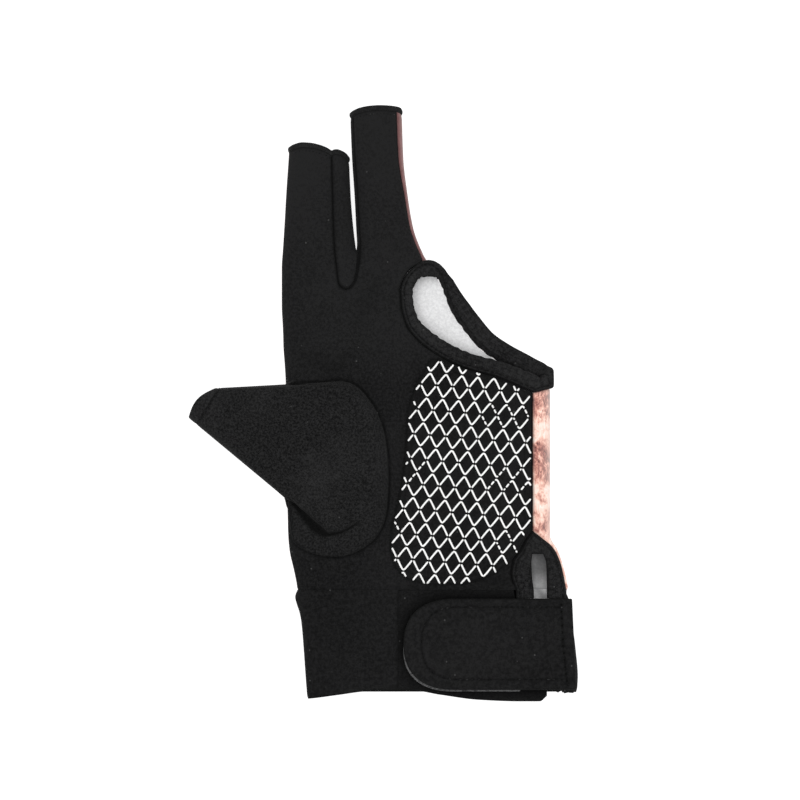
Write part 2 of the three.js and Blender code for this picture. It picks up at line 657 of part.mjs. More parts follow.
// The gusset between index and middle finger: it runs from one tip down into the crotch and
// up to the other tip, and folds round each finger's side from its palm seam to its back seam.
function makeFingerGusset() {
  const cusp = new THREE.Vector3(FINGER_CUSP.x * PALM_WIDTH, 0, SIDE_LEVEL);
  cusp.y = HAND_LENGTH + FINGER_CUSP.index * INDEX_LENGTH;
  const across = (row, side, table, at, inWeb) => {
    const fold = inWeb ? cusp : new THREE.Vector3(side, row.y, SIDE_LEVEL);
    const seams = [["stitch", topOf, TOP_ROLL], ["backStitch", bottomOf, FLOOR_ROLL]];
    const [palm, back] = seams.map(([column, surface, roll]) => {
      const x = follow(table, column)(at) * PALM_WIDTH;
      return rounded(new THREE.Vector3(x, row.y, surface(row, x)), fold, roll, COLUMNS.gusset);
    });
    const points = [...palm.slice(0, -1), ...back.reverse()];
    return points.map((p) => p.setY(p.y - drawn(row, p.x)));
  };
  const index = rowsTo(INDEX_ROWS, INDEX_LENGTH).map((at) => {
    const row = indexRow(at);
    return across(row, row.right, INDEX, at, at < FINGER_CUSP.index);
  });
  const middle = rowsTo(MIDDLE_ROWS, MIDDLE_LENGTH).map((at) => {
    const row = middleRow(at);
    return across(row, row.left, MIDDLE, at, at < FINGER_CUSP.middle);
  });
  const strip = [...index.reverse(), ...middle.slice(1)];
  add("finger_gusset", panel([turnedOver(strip)], WALL), fabric);
}

// count + 1 points from a seam to a fold, level at the seam and upright at the fold.
function rounded(seam, fold, roll, count) {
  const reach = Math.hypot(seam.x - fold.x, seam.y - fold.y);
  const height = seam.z - fold.z;
  const path = Array.from({ length: 41 }, (_, i) => {
    const share = Math.sin((Math.PI / 2) * (i / 40));
    const left = reach * (1 - share);
    const point = seam.clone().lerp(fold, share);
    point.z = fold.z + (height * fall(left / roll)) / fall(reach / roll);
    return point;
  });
  return evenly(path, count);
}

// The thumb's rings: its base seam, its neck and its open tip, each a closed list of points.
function thumbRings() {
  const count = THUMB.length;
  const finer = 2;
  const closedCurve = (points) =>
    new THREE.CatmullRomCurve3(points, true, "catmullrom", 0.5).getPoints(count * finer);
  const rise = THUMB_LEVEL - SIDE_LEVEL;
  const seam = THUMB.map(({ seamX, seamY, under }) => {
    const row = handRow(seamY);
    const x = under ? row.left : seamX * PALM_WIDTH;
    return new THREE.Vector3(x, row.y, under ? SIDE_LEVEL + SEAM_GAP * 1.5 : topOf(row, x));
  });
  const neck = THUMB.map((row) => {
    const level = SIDE_LEVEL + rise * row.rise;
    return new THREE.Vector3(row.neckX * PALM_WIDTH, row.neckY * HAND_LENGTH, level);
  });
  const start = new THREE.Vector3(0, THUMB_TIP.topY * HAND_LENGTH, THUMB_TIP_LEVEL);
  const along = new THREE.Vector3(-Math.cos(THUMB_TIP.turn), -Math.sin(THUMB_TIP.turn), 0);
  const outward = new THREE.Vector3(along.y, -along.x, 0);
  start.x = -THUMB_REACH - along.x * THUMB_TIP_WIDTH;
  const tip = THUMB.map((row) => {
    const lens = Math.sqrt(Math.max(0, 1 - (2 * row.tip - 1) ** 2));
    const side = row.under ? -1 : 1;
    return start
      .clone()
      .addScaledVector(along, row.tip * THUMB_TIP_WIDTH)
      .addScaledVector(outward, Math.sin(Math.PI * row.tip) * THUMB_TIP.bulge * THUMB_TIP_WIDTH)
      .setZ(THUMB_TIP_LEVEL + (side * lens * THUMB_TIP_THICKNESS) / 2);
  });
  return { seam: closedCurve(seam), neck: closedCurve(neck), tip: closedCurve(tip) };
}

// The thumb as rings from its base seam (v = 0) over the neck to a share of its way to the tip.
function thumbRow(v) {
  const { seam, neck, tip } = thumbRings();
  return seam.map((p, i) => {
    if (v <= THUMB_BASE) {
      const share = v / THUMB_BASE;
      const point = p.clone().lerp(neck[i], share);
      point.z = p.z + (neck[i].z - p.z) * Math.sin((share * Math.PI) / 2);
      return point;
    }
    return neck[i].clone().lerp(tip[i], (v - THUMB_BASE) / (1 - THUMB_BASE));
  });
}

// The thumb: a suede-like tube whose open end points away from the fingers, set into the palm.
function makeThumb() {
  const hem = 1 - THUMB_HEM / THUMB_LENGTH;
  const rows = [0, 0.07, 0.13, THUMB_BASE, 0.36, 0.52, 0.68, 0.82, hem].map(thumbRow);
  add("thumb", panel([turnedOver(rows)], WALL), suede);
  const band = [hem, (1 + hem) / 2, 1].map(thumbRow);
  add("thumb_tip_band", panel([turnedOver(band)], WALL), suede);
}

// Overlocked edges of the two finger tips, each a ring right round the finger.
function makeTipBands() {
  for (const [name, rowAt, length] of [
    ["index_tip_band", indexRow, INDEX_LENGTH],
    ["middle_tip_band", middleRow, MIDDLE_LENGTH],
  ]) {
    const rows = [1 - TIP_BAND / length, 1].map((at) => {
      const row = rowAt(at);
      return span(row, [[topOf, row.left, row.right], [bottomOf, row.right, row.left]], COLUMNS.tip);
    });
    add(name, panel([rows], WALL), knit);
  }
}

// The pad that carries the raised grip lines, lying on the palm.
function makeGripPad() {
  const left = follow([...PAD].reverse(), "left");
  const right = follow([...PAD].reverse(), "right");
  const [top, bottom] = [PAD[0].at, PAD[PAD.length - 1].at];
  const rows = Array.from({ length: PAD_ROWS + 1 }, (_, i) => {
    const share = (1 - Math.cos((Math.PI * i) / PAD_ROWS)) / 2;
    return bottom + (top - bottom) * share;
  });
  const grid = rows.map((at) => {
    const row = handRow(at);
    const [from, to] = [left(at) * PALM_WIDTH, right(at) * PALM_WIDTH];
    return PAD_COLUMNS.map((share) => pointOn(row, topOf, from + (to - from) * share));
  });
  const surface = join([grid]);
  const under = surface.points.map((p) => p.clone().setZ(p.z + SEAM_GAP));
  for (const p of surface.points) {
    const at = p.y / HAND_LENGTH;
    const edge = Math.min(p.x - left(at) * PALM_WIDTH, right(at) * PALM_WIDTH - p.x);
    const end = Math.min(p.y - bottom * HAND_LENGTH, top * HAND_LENGTH - p.y);
    const rounding = PAD_LIP + (1 - PAD_LIP) * fall(Math.max(0, Math.min(edge, end)) / PAD_EDGE);
    p.z += SEAM_GAP + PAD_THICKNESS * rounding;
  }
  add("grip_pad", closed(surface, under), grip);
}

// The free edge of the opening's binding. Each point of the seam has its outward direction, and
// the binding lies on the side of the seam that is clear of fabric.
function freeEdge(seam, widths) {
  const count = seam.length;
  const near = (i, step) => (i + step + count) % count;
  let across = seam.map(({ normal }, i) => {
    const along = seam[near(i, 1)].point.clone().sub(seam[near(i, -1)].point);
    const level = Math.abs(normal.z) > UPRIGHT;
    const faces = level ? UP.clone().multiplyScalar(Math.sign(normal.z)) : OUTWARD;
    return along.cross(faces).setZ(0).normalize();
  });
  for (let pass = 0; pass < 3; pass++)
    across = across.map((d, i) =>
      d.clone().multiplyScalar(2).add(across[near(i, 1)]).add(across[near(i, -1)]).normalize(),
    );
  const width = follow(widths, "width");
  const run = [0];
  for (let i = 1; i < count; i++)
    run.push(run[i - 1] + seam[i].point.distanceTo(seam[i - 1].point));
  const total = run[count - 1];
  return seam.map(({ point }, i) =>
    point.clone().addScaledVector(across[i], width(run[i] / total)));
}

// A folded tape from its seam to its free edge, a little proud of the fabric in between.
function tape(seam, free, levelAt) {
  return seam.map(({ point, normal }, i) =>
    [0, 0.2, 0.5, 0.8, 1].map((share) => {
      const p = point.clone().lerp(free[i], share);
      p.z = levelAt(p, point);
      const crown = BINDING_PROUD * (share > 0.1 && share < 0.9 ? 1 : 0);
      return p.addScaledVector(normal, normal.z < 0 ? crown - BINDING_PROUD : crown);
    }),
  );
}

function seamPoint(row, surface, x) {
  const point = pointOn(row, surface, x);
  return { point, normal: facing(row, point) };
}

// Which way a point on the right side of a row faces: up on top, out at the fold, down below.
function facing(row, point) {
  const lift = point.z - SIDE_LEVEL;
  const slope = clamp(lift / (lift < 0 ? SIDE_LEVEL : row.level - SIDE_LEVEL), -1, 1);
  return new THREE.Vector3(Math.sqrt(1 - slope ** 2), 0, slope);
}

// The elastic binding of the hole through which ring and little finger leave the glove.
function makeOpeningBinding() {
  const handAt = HAND_ROWS.filter((at) => at >= CORNER.palm);
  const backAt = HAND_ROWS.filter((at) => at >= CORNER.side);
  const fingerAt = MIDDLE_ROWS.filter((at) => at <= STRIP_START);
  const palmEdge = follow(PALM_EDGE, "x");
  const backEdge = follow(BACK_EDGE, "x");
  const turn = middleRow(STRIP_START);
  const corner = handRow(CORNER.side);
  const seam = [
    ...handAt.map((at) => seamPoint(handRow(at), topOf, palmEdge(at) * PALM_WIDTH)),
    ...fingerAt.slice(1).map((at) =>
      seamPoint(middleRow(at), topOf, follow(MIDDLE, "seam")(at) * PALM_WIDTH)),
    seamPoint(turn, () => SIDE_LEVEL, turn.right),
    ...[...fingerAt].reverse().slice(1).map((at) =>
      seamPoint(middleRow(at), bottomOf, follow(MIDDLE, "backEdge")(at) * PALM_WIDTH)),
    ...[...backAt].reverse().slice(1).map((at) =>
      seamPoint(handRow(at), bottomOf, backEdge(at) * PALM_WIDTH)),
    ...wrapRow(CORNER.side).slice(1, -1).map((point) => ({ point, normal: facing(corner, point) })),
  ];
  const rows = tape(seam, freeEdge(seam, OPENING_BINDING), (p, start) => start.z);
  add("finger_opening_binding", panel([[...rows, rows[0]]], BINDING_THICKNESS), knit);
}

// The binding of the wrist slit, an upturned U whose ends run under the strap. It lies level
// with the palm all along. Its last step goes along the hole's straight top to the middle.
function makeSlitBinding() {
  const top = SLIT_HOLE[SLIT_HOLE.length - 1];
  const leg = (edge, side) => {
    const seamAt = follow(edge, "x");
    const holeAt = follow(SLIT_HOLE, side);
    return [-1, ...HAND_ROWS.filter((at) => at <= SLIT_TOP)].map((at) => {
      const row = at < 0 ? { ...handRow(0), y: -SLIT_TAIL } : handRow(at);
      const steps = (Math.max(0, at) / SLIT_TOP) * SLIT_STEPS;
      const height = top.at * Math.min(1, steps / (SLIT_STEPS - 1));
      const turn = Math.max(0, steps - SLIT_STEPS + 1);
      const x = holeAt(height) + ((top.left + top.right) / 2 - holeAt(height)) * turn;
      const y = at < 0 ? row.y : height * HAND_LENGTH;
      return {
        point: pointOn(row, topOf, seamAt(Math.max(0, at)) * PALM_WIDTH),
        normal: UP,
        free: new THREE.Vector3(x * PALM_WIDTH, y, 0),
      };
    });
  };
  const seam = [...leg(PALM_EDGE, "left"), ...leg(WRAP_EDGE, "right").reverse().slice(1)];
  const level = (p) => topOf(handRow(Math.max(0, p.y / HAND_LENGTH)), p.x);
  const rows = tape(seam, seam.map(({ free }) => free), level);
  add("wrist_slit_binding", panel([rows], BINDING_THICKNESS), knit);
}

// The cuff: its front, the fold on the thumb side, the back and the short return over the
// little-finger side, as one strip of thicker fabric.
function makeCuff() {
  const middle = CUFF_FRONT_LEVEL / 2;
  const front = (row, x) => middle + (CUFF_FRONT_LEVEL - middle) * fall((x - row.left) / TOP_ROLL);
  const back = (row, x) =>
    middle * (1 - fall((x - row.left) / FLOOR_ROLL) * fall((row.right - x) / FLOOR_ROLL));
  const over = (row, x) => middle + (RETURN_LEVEL - middle) * fall((row.right - x) / FLOOR_ROLL);
  const frontHem = follow(FRONT_HEM, "reach");
  const left = follow(CUFF, "left");
  const right = follow(CUFF, "right");
  const rows = CUFF_ROWS.map((at) => {
    const row = {
      y: 0,
      left: left(at) * PALM_WIDTH,
      right: right(at) * PALM_WIDTH,
      bend: 0,
      middle: 0,
    };
    const stretches = [
      [front, FRONT_END * PALM_WIDTH, row.left],
      [back, row.left, row.right],
      [over, row.right, RETURN_END * PALM_WIDTH],
    ];
    return span(row, stretches, COLUMNS.cuff).map((p) => {
      const lift = smooth(p.z / SIDE_LEVEL);
      const onRight = p.x > PALM_WIDTH / 2;
      const hem = onRight ? BACK_REACH : frontHem(p.x / PALM_WIDTH);
      const reach = BACK_REACH + (hem - BACK_REACH) * lift;
      const start = onRight ? lift * (SLIT_TAIL + SEAM_GAP) : 0;
      return p.setY(-start - at * (reach * CUFF_HEIGHT - start));
    });
  });
  add("wrist_cuff", panel([rows], CUFF_WALL), neoprene);
}

function slab(shape, bottom, thickness, bevel) {
  const geometry = new THREE.ExtrudeGeometry(shape, {
    depth: thickness - 2 * bevel,
    bevelEnabled: bevel > 0,
    bevelThickness: bevel,
    bevelSize: bevel,
    bevelOffset: -bevel,
    bevelSegments: 1,
    curveSegments: 6,
  });
  geometry.translate(0, 0, bottom + bevel);
  return geometryOf(solidOf(geometry));
}

// The outline of a tab whose left end is round: sizes are shares of the palm and the cuff.
function tabShape({ left, right, lowRight, top, hem, round }) {
  const [x0, x1] = [left * PALM_WIDTH, right * PALM_WIDTH];
  const [y0, y1] = [-hem * CUFF_HEIGHT, -top * CUFF_HEIGHT];
  const [middle, bow] = [(y0 + y1) / 2, round * PALM_WIDTH];
  const shape = new THREE.Shape();
  shape.moveTo((lowRight || right) * PALM_WIDTH, y0);
  shape.lineTo(x1, y1);
  shape.lineTo(x0 + bow, y1);
  shape.bezierCurveTo(x0 + bow * 0.3, y1, x0, y1 - bow * 0.35, x0, middle);
  shape.bezierCurveTo(x0, y0 + bow * 0.35, x0 + bow * 0.3, y0, x0 + bow, y0);
  return shape;
}

// The closure: the loop panel sewn beside the cuff's front, and the strap with its hooks.
function makeClosure() {
  const start = FRONT_END * PALM_WIDTH + SEAM_GAP;
  const end = LOOP_HEM[LOOP_HEM.length - 1].x * PALM_WIDTH;
  const slit = PALM_EDGE[0].x * PALM_WIDTH - SEAM_GAP;
  const hem = follow(LOOP_HEM, "reach", "x");
  const loop = new THREE.Shape();
  loop.moveTo(start, -SEAM_GAP / 2);
  for (const x of [...steps(start, end, 12), end])
    loop.lineTo(x, -hem(x / PALM_WIDTH) * CUFF_HEIGHT);
  loop.lineTo(end, -SLIT_TAIL - SEAM_GAP);
  loop.lineTo(slit, -SLIT_TAIL - SEAM_GAP);
  loop.lineTo(slit, -SEAM_GAP / 2);
  add("loop_panel", slab(loop, CUFF_FRONT_LEVEL - CUFF_WALL, CUFF_WALL, 0), loopPile);
  const hookLevel = CUFF_FRONT_LEVEL + SEAM_GAP;
  add("hook_patch", slab(tabShape(HOOK), hookLevel, HOOK_THICKNESS, 0), hookPile);
  const strapLevel = RETURN_LEVEL + SEAM_GAP;
  add("closure_strap", slab(tabShape(STRAP), strapLevel, STRAP_THICKNESS, STRAP_BEVEL), neoprene);
}

// Moves the group so that its origin is the centre of its lowest face.
function standOnItsBack() {
  const box = new THREE.Box3().setFromObject(glove);
  const middle = box.getCenter(new THREE.Vector3());
  for (const mesh of glove.children) mesh.geometry.translate(-middle.x, -middle.y, -box.min.z);
}
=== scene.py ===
import math

import bmesh
import bpy
import numpy as np
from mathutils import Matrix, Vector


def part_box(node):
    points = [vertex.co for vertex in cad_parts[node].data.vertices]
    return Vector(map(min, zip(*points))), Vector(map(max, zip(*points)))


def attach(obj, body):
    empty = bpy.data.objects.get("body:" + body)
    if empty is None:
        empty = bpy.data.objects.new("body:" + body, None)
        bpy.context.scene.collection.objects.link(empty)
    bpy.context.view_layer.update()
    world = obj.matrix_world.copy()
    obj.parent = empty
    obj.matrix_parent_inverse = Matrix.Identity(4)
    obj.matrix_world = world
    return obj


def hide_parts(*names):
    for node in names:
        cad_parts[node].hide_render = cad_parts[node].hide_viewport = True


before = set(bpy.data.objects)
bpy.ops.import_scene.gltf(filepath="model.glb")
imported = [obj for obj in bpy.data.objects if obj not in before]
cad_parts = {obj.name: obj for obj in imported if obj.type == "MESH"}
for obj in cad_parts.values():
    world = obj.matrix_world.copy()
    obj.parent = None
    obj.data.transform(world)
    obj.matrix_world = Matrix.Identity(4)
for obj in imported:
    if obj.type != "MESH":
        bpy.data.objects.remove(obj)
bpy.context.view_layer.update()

# Palm panel: one piece of black stretch jersey with the fronts of index and middle finger.
# It is sewn to the printed back along the thumb side, and its other edges meet the side strip,
# the bindings, the finger gusset and the cuff. The thumb is set into a hole in its left side.
# Lengths are in millimetres from the palm's left edge and the wrist seam.
PALM_WIDTH, HAND_LENGTH, INDEX_LENGTH, MIDDLE_LENGTH = 98, 108.4, 53, 66.4
CUFF_HEIGHT = 38.5
WALL, SEAM_GAP = 1.2, 0.3
SIDE_LEVEL, HAND_LEVEL, WRIST_LEVEL, FINGER_LEVEL = 4.5, 9.8, 8.3, 9.2
TOP_ROLL, FLOOR_ROLL = 7.5, 5
TIP_BAND = 2
STRAP_LEFT, STRAP_HEM = 0.45, 0.932
strap_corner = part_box("closure_strap")[0]
ORIGIN = np.array([
    strap_corner.x * 1000 - STRAP_LEFT * PALM_WIDTH, strap_corner.y * 1000 + STRAP_HEM * CUFF_HEIGHT, 0,
])


def table(names, rows):
    """A table's columns as arrays by name."""
    return dict(zip(names.split(), np.array(rows, float).T))


OUTLINE = table("at left side lift sink", [
    (0, 0.059, 1.059, 0, 0), (0.06, 0.046, 1.045, 0.35, 0), (0.13, 0.029, 1.02, 0.7, 0),
    (0.18, 0.024, 0.991, 0.85, 0), (0.3, 0.02, 0.991, 1, 0), (0.47, 0.018, 0.991, 1, 0),
    (0.65, 0.017, 0.991, 1, 0), (0.673, 0.016, 0.991, 1, 0), (0.713, 0.014, 0.97, 1, 0),
    (0.757, 0.011, 0.88, 1, 0.05), (0.803, 0.007, 0.8, 1, 0.25), (0.87, 0.004, 0.74, 1, 0.63),
    (0.95, 0, 0.69, 1, 0.9), (1, 0, 0.66, 1, 1),
])
PALM_EDGE = table("at x", [
    (0, 0.864), (0.057, 0.847), (0.1, 0.855), (0.133, 0.882), (0.17, 0.904), (0.2, 0.926), (0.3, 0.926),
    (0.655, 0.926), (0.673, 0.886), (0.707, 0.796), (0.737, 0.679), (0.78, 0.579), (0.828, 0.507),
    (0.881, 0.461), (0.95, 0.441), (1, 0.438),
])
INDEX = table("at left stitch side backStitch", [
    (0, 0, 0.239, 0.357, 0.239), (0.007, 0, 0.228, 0.348, 0.238), (0.02, 0, 0.2185, 0.333, 0.237),
    (0.041, 0, 0.2115, 0.312, 0.235), (0.15, 0, 0.204, 0.287, 0.233), (0.265, 0.004, 0.197, 0.276, 0.232),
    (0.469, 0.011, 0.192, 0.263, 0.228), (0.639, 0.016, 0.19, 0.256, 0.224), (1, 0.028, 0.186, 0.25, 0.217),
])
MIDDLE = table("at side stitch seam farSide backStitch backEdge", [
    (0, 0.129, 0.239, 0.438, 0.66, 0.239, 0.596), (0.006, 0.135, 0.2505, 0.439, 0.657, 0.241, 0.594),
    (0.018, 0.15, 0.261, 0.441, 0.651, 0.245, 0.59), (0.054, 0.19, 0.274, 0.45, 0.632, 0.256, 0.577),
    (0.098, 0.228, 0.28, 0.468, 0.597, 0.267, 0.566), (0.133, 0.248, 0.284, 0.496, 0.562, 0.276, 0.553),
    (0.155, 0.261, 0.286, 0.522, 0.54, 0.282, 0.54), (0.184, 0.272, 0.288, 0.516, 0.527, 0.29, 0.527),
    (0.244, 0.279, 0.289, 0.4985, 0.507, 0.296, 0.507), (0.336, 0.276, 0.285, 0.477, 0.486, 0.301, 0.486),
    (0.509, 0.27, 0.279, 0.457, 0.466, 0.301, 0.466), (0.715, 0.261, 0.27, 0.434, 0.45, 0.298, 0.45),
    (1, 0.254, 0.263, 0.426, 0.444, 0.294, 0.444),
])
# How far back the tips' edges lie, in millimetres, at shares across each finger. The index
# finger's has a notch where the gusset is sewn on.
INDEX_TIP = table("at back", [
    (0, 1.8), (0.08, 0.8), (0.23, 0), (0.36, 0.15), (0.5, 0.8), (0.62, 1.8), (0.69, 2.75), (0.71, 3),
    (0.73, 2.7), (0.79, 2.5), (0.87, 3), (0.94, 3.9), (1, 5.4),
])
MIDDLE_TIP = table("at back", [
    (0, 2.8), (0.07, 1.9), (0.21, 0.85), (0.4, 0.2), (0.57, 0), (0.75, 0.15), (0.9, 0.5), (0.97, 0.9),
    (1, 1.7),
])


def follow(columns, name, key="at"):
    """A smooth curve through a column: a cubic between two rows, whose slope at each row is the
    harmonic mean of the rises beside it, so that it never swings past its rows."""
    t, v = columns[key], columns[name]
    rise = np.diff(v) / np.diff(t)
    product, total = rise[:-1] * rise[1:], rise[:-1] + rise[1:]
    inner = np.where(product > 0, 2 * product / np.where(total == 0, 1, total), 0)
    slope = np.concatenate([rise[:1], inner, rise[-1:]])

    def at(place):
        x = np.clip(place, t[0], t[-1])
        i = np.clip(np.searchsorted(t, x, side="right") - 1, 0, len(t) - 2)
        width = t[i + 1] - t[i]
        s = (x - t[i]) / width
        bend = s * s * (3 - 2 * s)
        lean = width * s * (1 - s) * (slope[i] * (1 - s) - slope[i + 1] * s)
        return v[i] + (v[i + 1] - v[i]) * bend + lean

    return at


def across(columns, name, at):
    """A column in millimetres at shares of the hand's or finger's length, one row for each."""
    return follow(columns, name)(np.asarray(at, float).reshape(-1, 1)) * PALM_WIDTH


def smooth(value):
    """0 below 0, 1 above 1, and an even S between them."""
    s = np.clip(value, 0, 1)
    return s * s * (3 - 2 * s)


def quarter(share):
    """A quarter round: the height of a unit circle at that share of its radius from the edge."""
    return np.sqrt(1 - (1 - np.clip(share, 0, 1)) ** 2)


def hand_row(at):
    """Rows across the hand at shares of its length: their place, side folds and palm level."""
    at = np.asarray(at, float).reshape(-1, 1)
    lifted = WRIST_LEVEL + (HAND_LEVEL - WRIST_LEVEL) * follow(OUTLINE, "lift")(at)
    return {
        "y": at * HAND_LENGTH,
        "left": across(OUTLINE, "left", at),
        "right": across(OUTLINE, "side", at),
        "level": lifted - (HAND_LEVEL - FINGER_LEVEL) * follow(OUTLINE, "sink")(at),
        "bend": 0 * at,
        "tip": np.zeros_like,
    }


def finger_row(columns, length, left, right, tip, at):
    """Rows across a finger. Towards the tip they bend as the tip's edge does."""
    at = np.asarray(at, float).reshape(-1, 1)
    return {
        "y": HAND_LENGTH + at * length,
        "left": across(columns, left, at),
        "right": across(columns, right, at),
        "level": FINGER_LEVEL + 0 * at,
        "bend": smooth((at - 0.6) / 0.4),
        "tip": follow(tip, "back"),
    }


def index_row(at):
    return finger_row(INDEX, INDEX_LENGTH, "left", "side", INDEX_TIP, at)


def middle_row(at):
    return finger_row(MIDDLE, MIDDLE_LENGTH, "side", "farSide", MIDDLE_TIP, at)


def top_of(row, x):
    """Upper surface: level across the row, a quarter round down to each side fold."""
    rolls = quarter((x - row["left"]) / TOP_ROLL) * quarter((row["right"] - x) / TOP_ROLL)
    return SIDE_LEVEL + (row["level"] - SIDE_LEVEL) * rolls


def bottom_of(row, x):
    """Lower surface: on the table, and a quarter round up to each side fold."""
    rolls = quarter((x - row["left"]) / FLOOR_ROLL) * quarter((row["right"] - x) / FLOOR_ROLL)
    return SIDE_LEVEL * (1 - rolls)


def drawn(row, x):
    """How far back a finger's tip draws a row at x."""
    return row["bend"] * row["tip"]((x - row["left"]) / (row["right"] - row["left"]))


def lay(row, surface, x):
    """The points of rows at x on a surface, as an array of rows, columns and coordinates."""
    return np.stack(np.broadcast_arrays(x, row["y"] - drawn(row, x), surface(row, x)), -1)


def stretch(row, surface, start, end, count):
    """A grid from start to end of each row, with its columns closest together at both ends."""
    share = (1 - np.cos(np.linspace(0, np.pi, count + 1))) / 2
    return lay(row, surface, start + (end - start) * share)


def weld(*grids):
    """Joins grids of points into one surface whose equal points are one: points, faces, the
    place of each face's corners on the flat cloth, and which grid point each point was. Its
    outside is where columns cross rows."""
    points = np.concatenate([grid.reshape(-1, 3) for grid in grids])
    keys = np.round(points * 1e3).astype(np.int64)
    _, first, index = np.unique(keys, axis=0, return_index=True, return_inverse=True)
    index = index.reshape(-1)
    quads, flats, offset = [], [], 0
    for grid in grids:
        rows, columns = grid.shape[:2]
        number = np.arange(rows * columns).reshape(rows, columns)
        along = np.linalg.norm(np.diff(grid, axis=1), axis=2).cumsum(1)
        down = np.linalg.norm(np.diff(grid[:, columns // 2], axis=0), axis=1).cumsum()
        flat = np.zeros((rows, columns, 2))
        flat[:, 1:, 0] = along
        flat[1:, :, 1] = down[:, None]
        corners = np.stack([number[:-1, :-1], number[:-1, 1:], number[1:, 1:], number[1:, :-1]], -1)
        corners = corners.reshape(-1, 4)
        quads.append(index[corners + offset])
        flats.append(flat.reshape(-1, 2)[corners])
        offset += rows * columns
    return points[first], np.concatenate(quads), np.concatenate(flats), first


def free_edges(quads):
    """Which sides of the faces have no face beyond them, with the two ends of every side."""
    start, end = quads.ravel(), np.roll(quads, -1, axis=1).ravel()
    size = quads.max() + 1
    return ~np.isin(start * size + end, end * size + start) & (start != end), start, end


def normals_of(points, quads):
    """The outward direction at each point: the sum of its faces' crossed diagonals."""
    a, b, c, d = (points[quads[:, i]] for i in range(4))
    crossed = np.cross(c - a, d - b)
    total = np.zeros_like(points)
    for corner in range(4):
        np.add.at(total, quads[:, corner], crossed)
    return total / np.maximum(np.linalg.norm(total, axis=1), 1e-12)[:, None]


def shell(surface, wall, relief=0, shade=0, inner_shade=0):
    """A closed wall: the surface raised by its relief, a copy one wall's thickness inside it and
    a rim between them. Faces are marked 0 outside and on the rim, and 1 inside."""
    points, quads, flats, _ = surface
    normals = normals_of(points, quads)
    outer = points + normals * np.broadcast_to(relief, len(points))[:, None]
    free, start, end = free_edges(quads)
    start, end, size = start[free], end[free], len(points)
    rim = np.stack([end, start, start + size, end + size], -1)
    here = flats.reshape(-1, 2)[free]
    there = np.roll(flats, -1, axis=1).reshape(-1, 2)[free]
    return (
        np.concatenate([outer, points - normals * wall]),
        np.concatenate([quads, quads[:, ::-1] + size, rim]),
        np.concatenate([flats, flats[:, ::-1], np.stack([there, here, here, there], 1)]),
        np.repeat([0, 1, 0], [len(quads), len(quads), len(rim)]),
        np.concatenate([np.broadcast_to(shade, size), np.broadcast_to(inner_shade, size)]),
    )


def nearness(points, curve):
    """Each point's distance from the nearest point of a closely spaced curve."""
    parts = np.array_split(points.astype(np.float32), len(points) // 300 + 1)
    curve = curve.astype(np.float32)
    square = (curve**2).sum(1)
    return np.concatenate([
        np.sqrt(np.maximum(((p**2).sum(1)[:, None] + square - 2 * p @ curve.T).min(1), 0))
        for p in parts
    ])


def bell(away, width):
    """1 at a line and less away from it: e to minus the square of the distance over the width."""
    return np.exp(-((away / width) ** 2))


def sewn(surface, depth=0.5, width=0.75, more=(), faint=()):
    """Sewn edges sink into shadow. The relief is a bell-shaped groove along the surface's free
    edges and more lines, and the shade is 1 in it. Faint lines have a third of its depth."""
    points, quads, _, _ = surface
    free, start, _ = free_edges(quads)
    lines, off = np.concatenate([points[start[free]], *more]), np.full(len(points), 99.0)
    if len(faint):
        weak = np.concatenate(faint)
        lines = lines[nearness(lines, weak) > 0.05]
        off = nearness(points, weak)
    away = nearness(points, lines)
    relief = -depth * np.maximum(bell(away, width), 0.3 * bell(off, width))
    return relief, np.maximum(bell(away, width * 0.75), 0.4 * bell(off, width * 0.6))


def creases(points, rows):
    """Soft ridges: each runs from one point to another, bell-shaped across, fading at its ends."""
    total = np.zeros(len(points))
    for x0, y0, x1, y1, width, height in rows:
        start, way = np.array([x0, y0]), np.array([x1 - x0, y1 - y0])
        share = np.clip((points[:, :2] - start) @ way / (way @ way), 0, 1)
        off = np.linalg.norm(points[:, :2] - start - share[:, None] * way, axis=1)
        total += height * np.sin(np.pi * share) ** 0.7 * bell(off, width)
    return total


def piece(name, made, materials, node, sharp=55):
    """Turns points, faces, flat places and sides into a smooth piece that stands for a CAD
    node and takes its place. A face with a repeated corner becomes a triangle."""
    points, faces, flats, sides, *shade = made
    keep = faces != np.roll(faces, 1, axis=1)
    keep &= (keep.sum(1) >= 3)[:, None]
    used, corners = np.unique(faces[keep], return_inverse=True)
    counts = keep.sum(1)
    starts = np.concatenate([[0], counts[counts > 0].cumsum()[:-1]])
    mesh = bpy.data.meshes.new(name)
    mesh.vertices.add(len(used))
    mesh.vertices.foreach_set("co", ((points[used] + ORIGIN) / 1000).astype(np.float32).ravel())
    mesh.loops.add(len(corners))
    mesh.loops.foreach_set("vertex_index", corners.reshape(-1).astype(np.int32))
    mesh.polygons.add(len(starts))
    mesh.polygons.foreach_set("loop_start", starts.astype(np.int32))
    mesh.polygons.foreach_set("material_index", sides[counts > 0].astype(np.int32))
    if shade:
        marks = mesh.attributes.new("shade", "FLOAT", "POINT")
        marks.data.foreach_set("value", shade[0][used].astype(np.float32))
    mesh.uv_layers.new(name="cloth").data.foreach_set("uv", flats[keep].astype(np.float32).ravel())
    mesh.update(calc_edges=True)
    mesh.shade_smooth()
    mesh.set_sharp_from_angle(angle=math.radians(sharp))
    for material in materials:
        mesh.materials.append(material)
    made_piece = bpy.data.objects.new(name, mesh)
    bpy.context.scene.collection.objects.link(made_piece)
    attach(made_piece, "root")
    if node:
        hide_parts(node)
    return made_piece


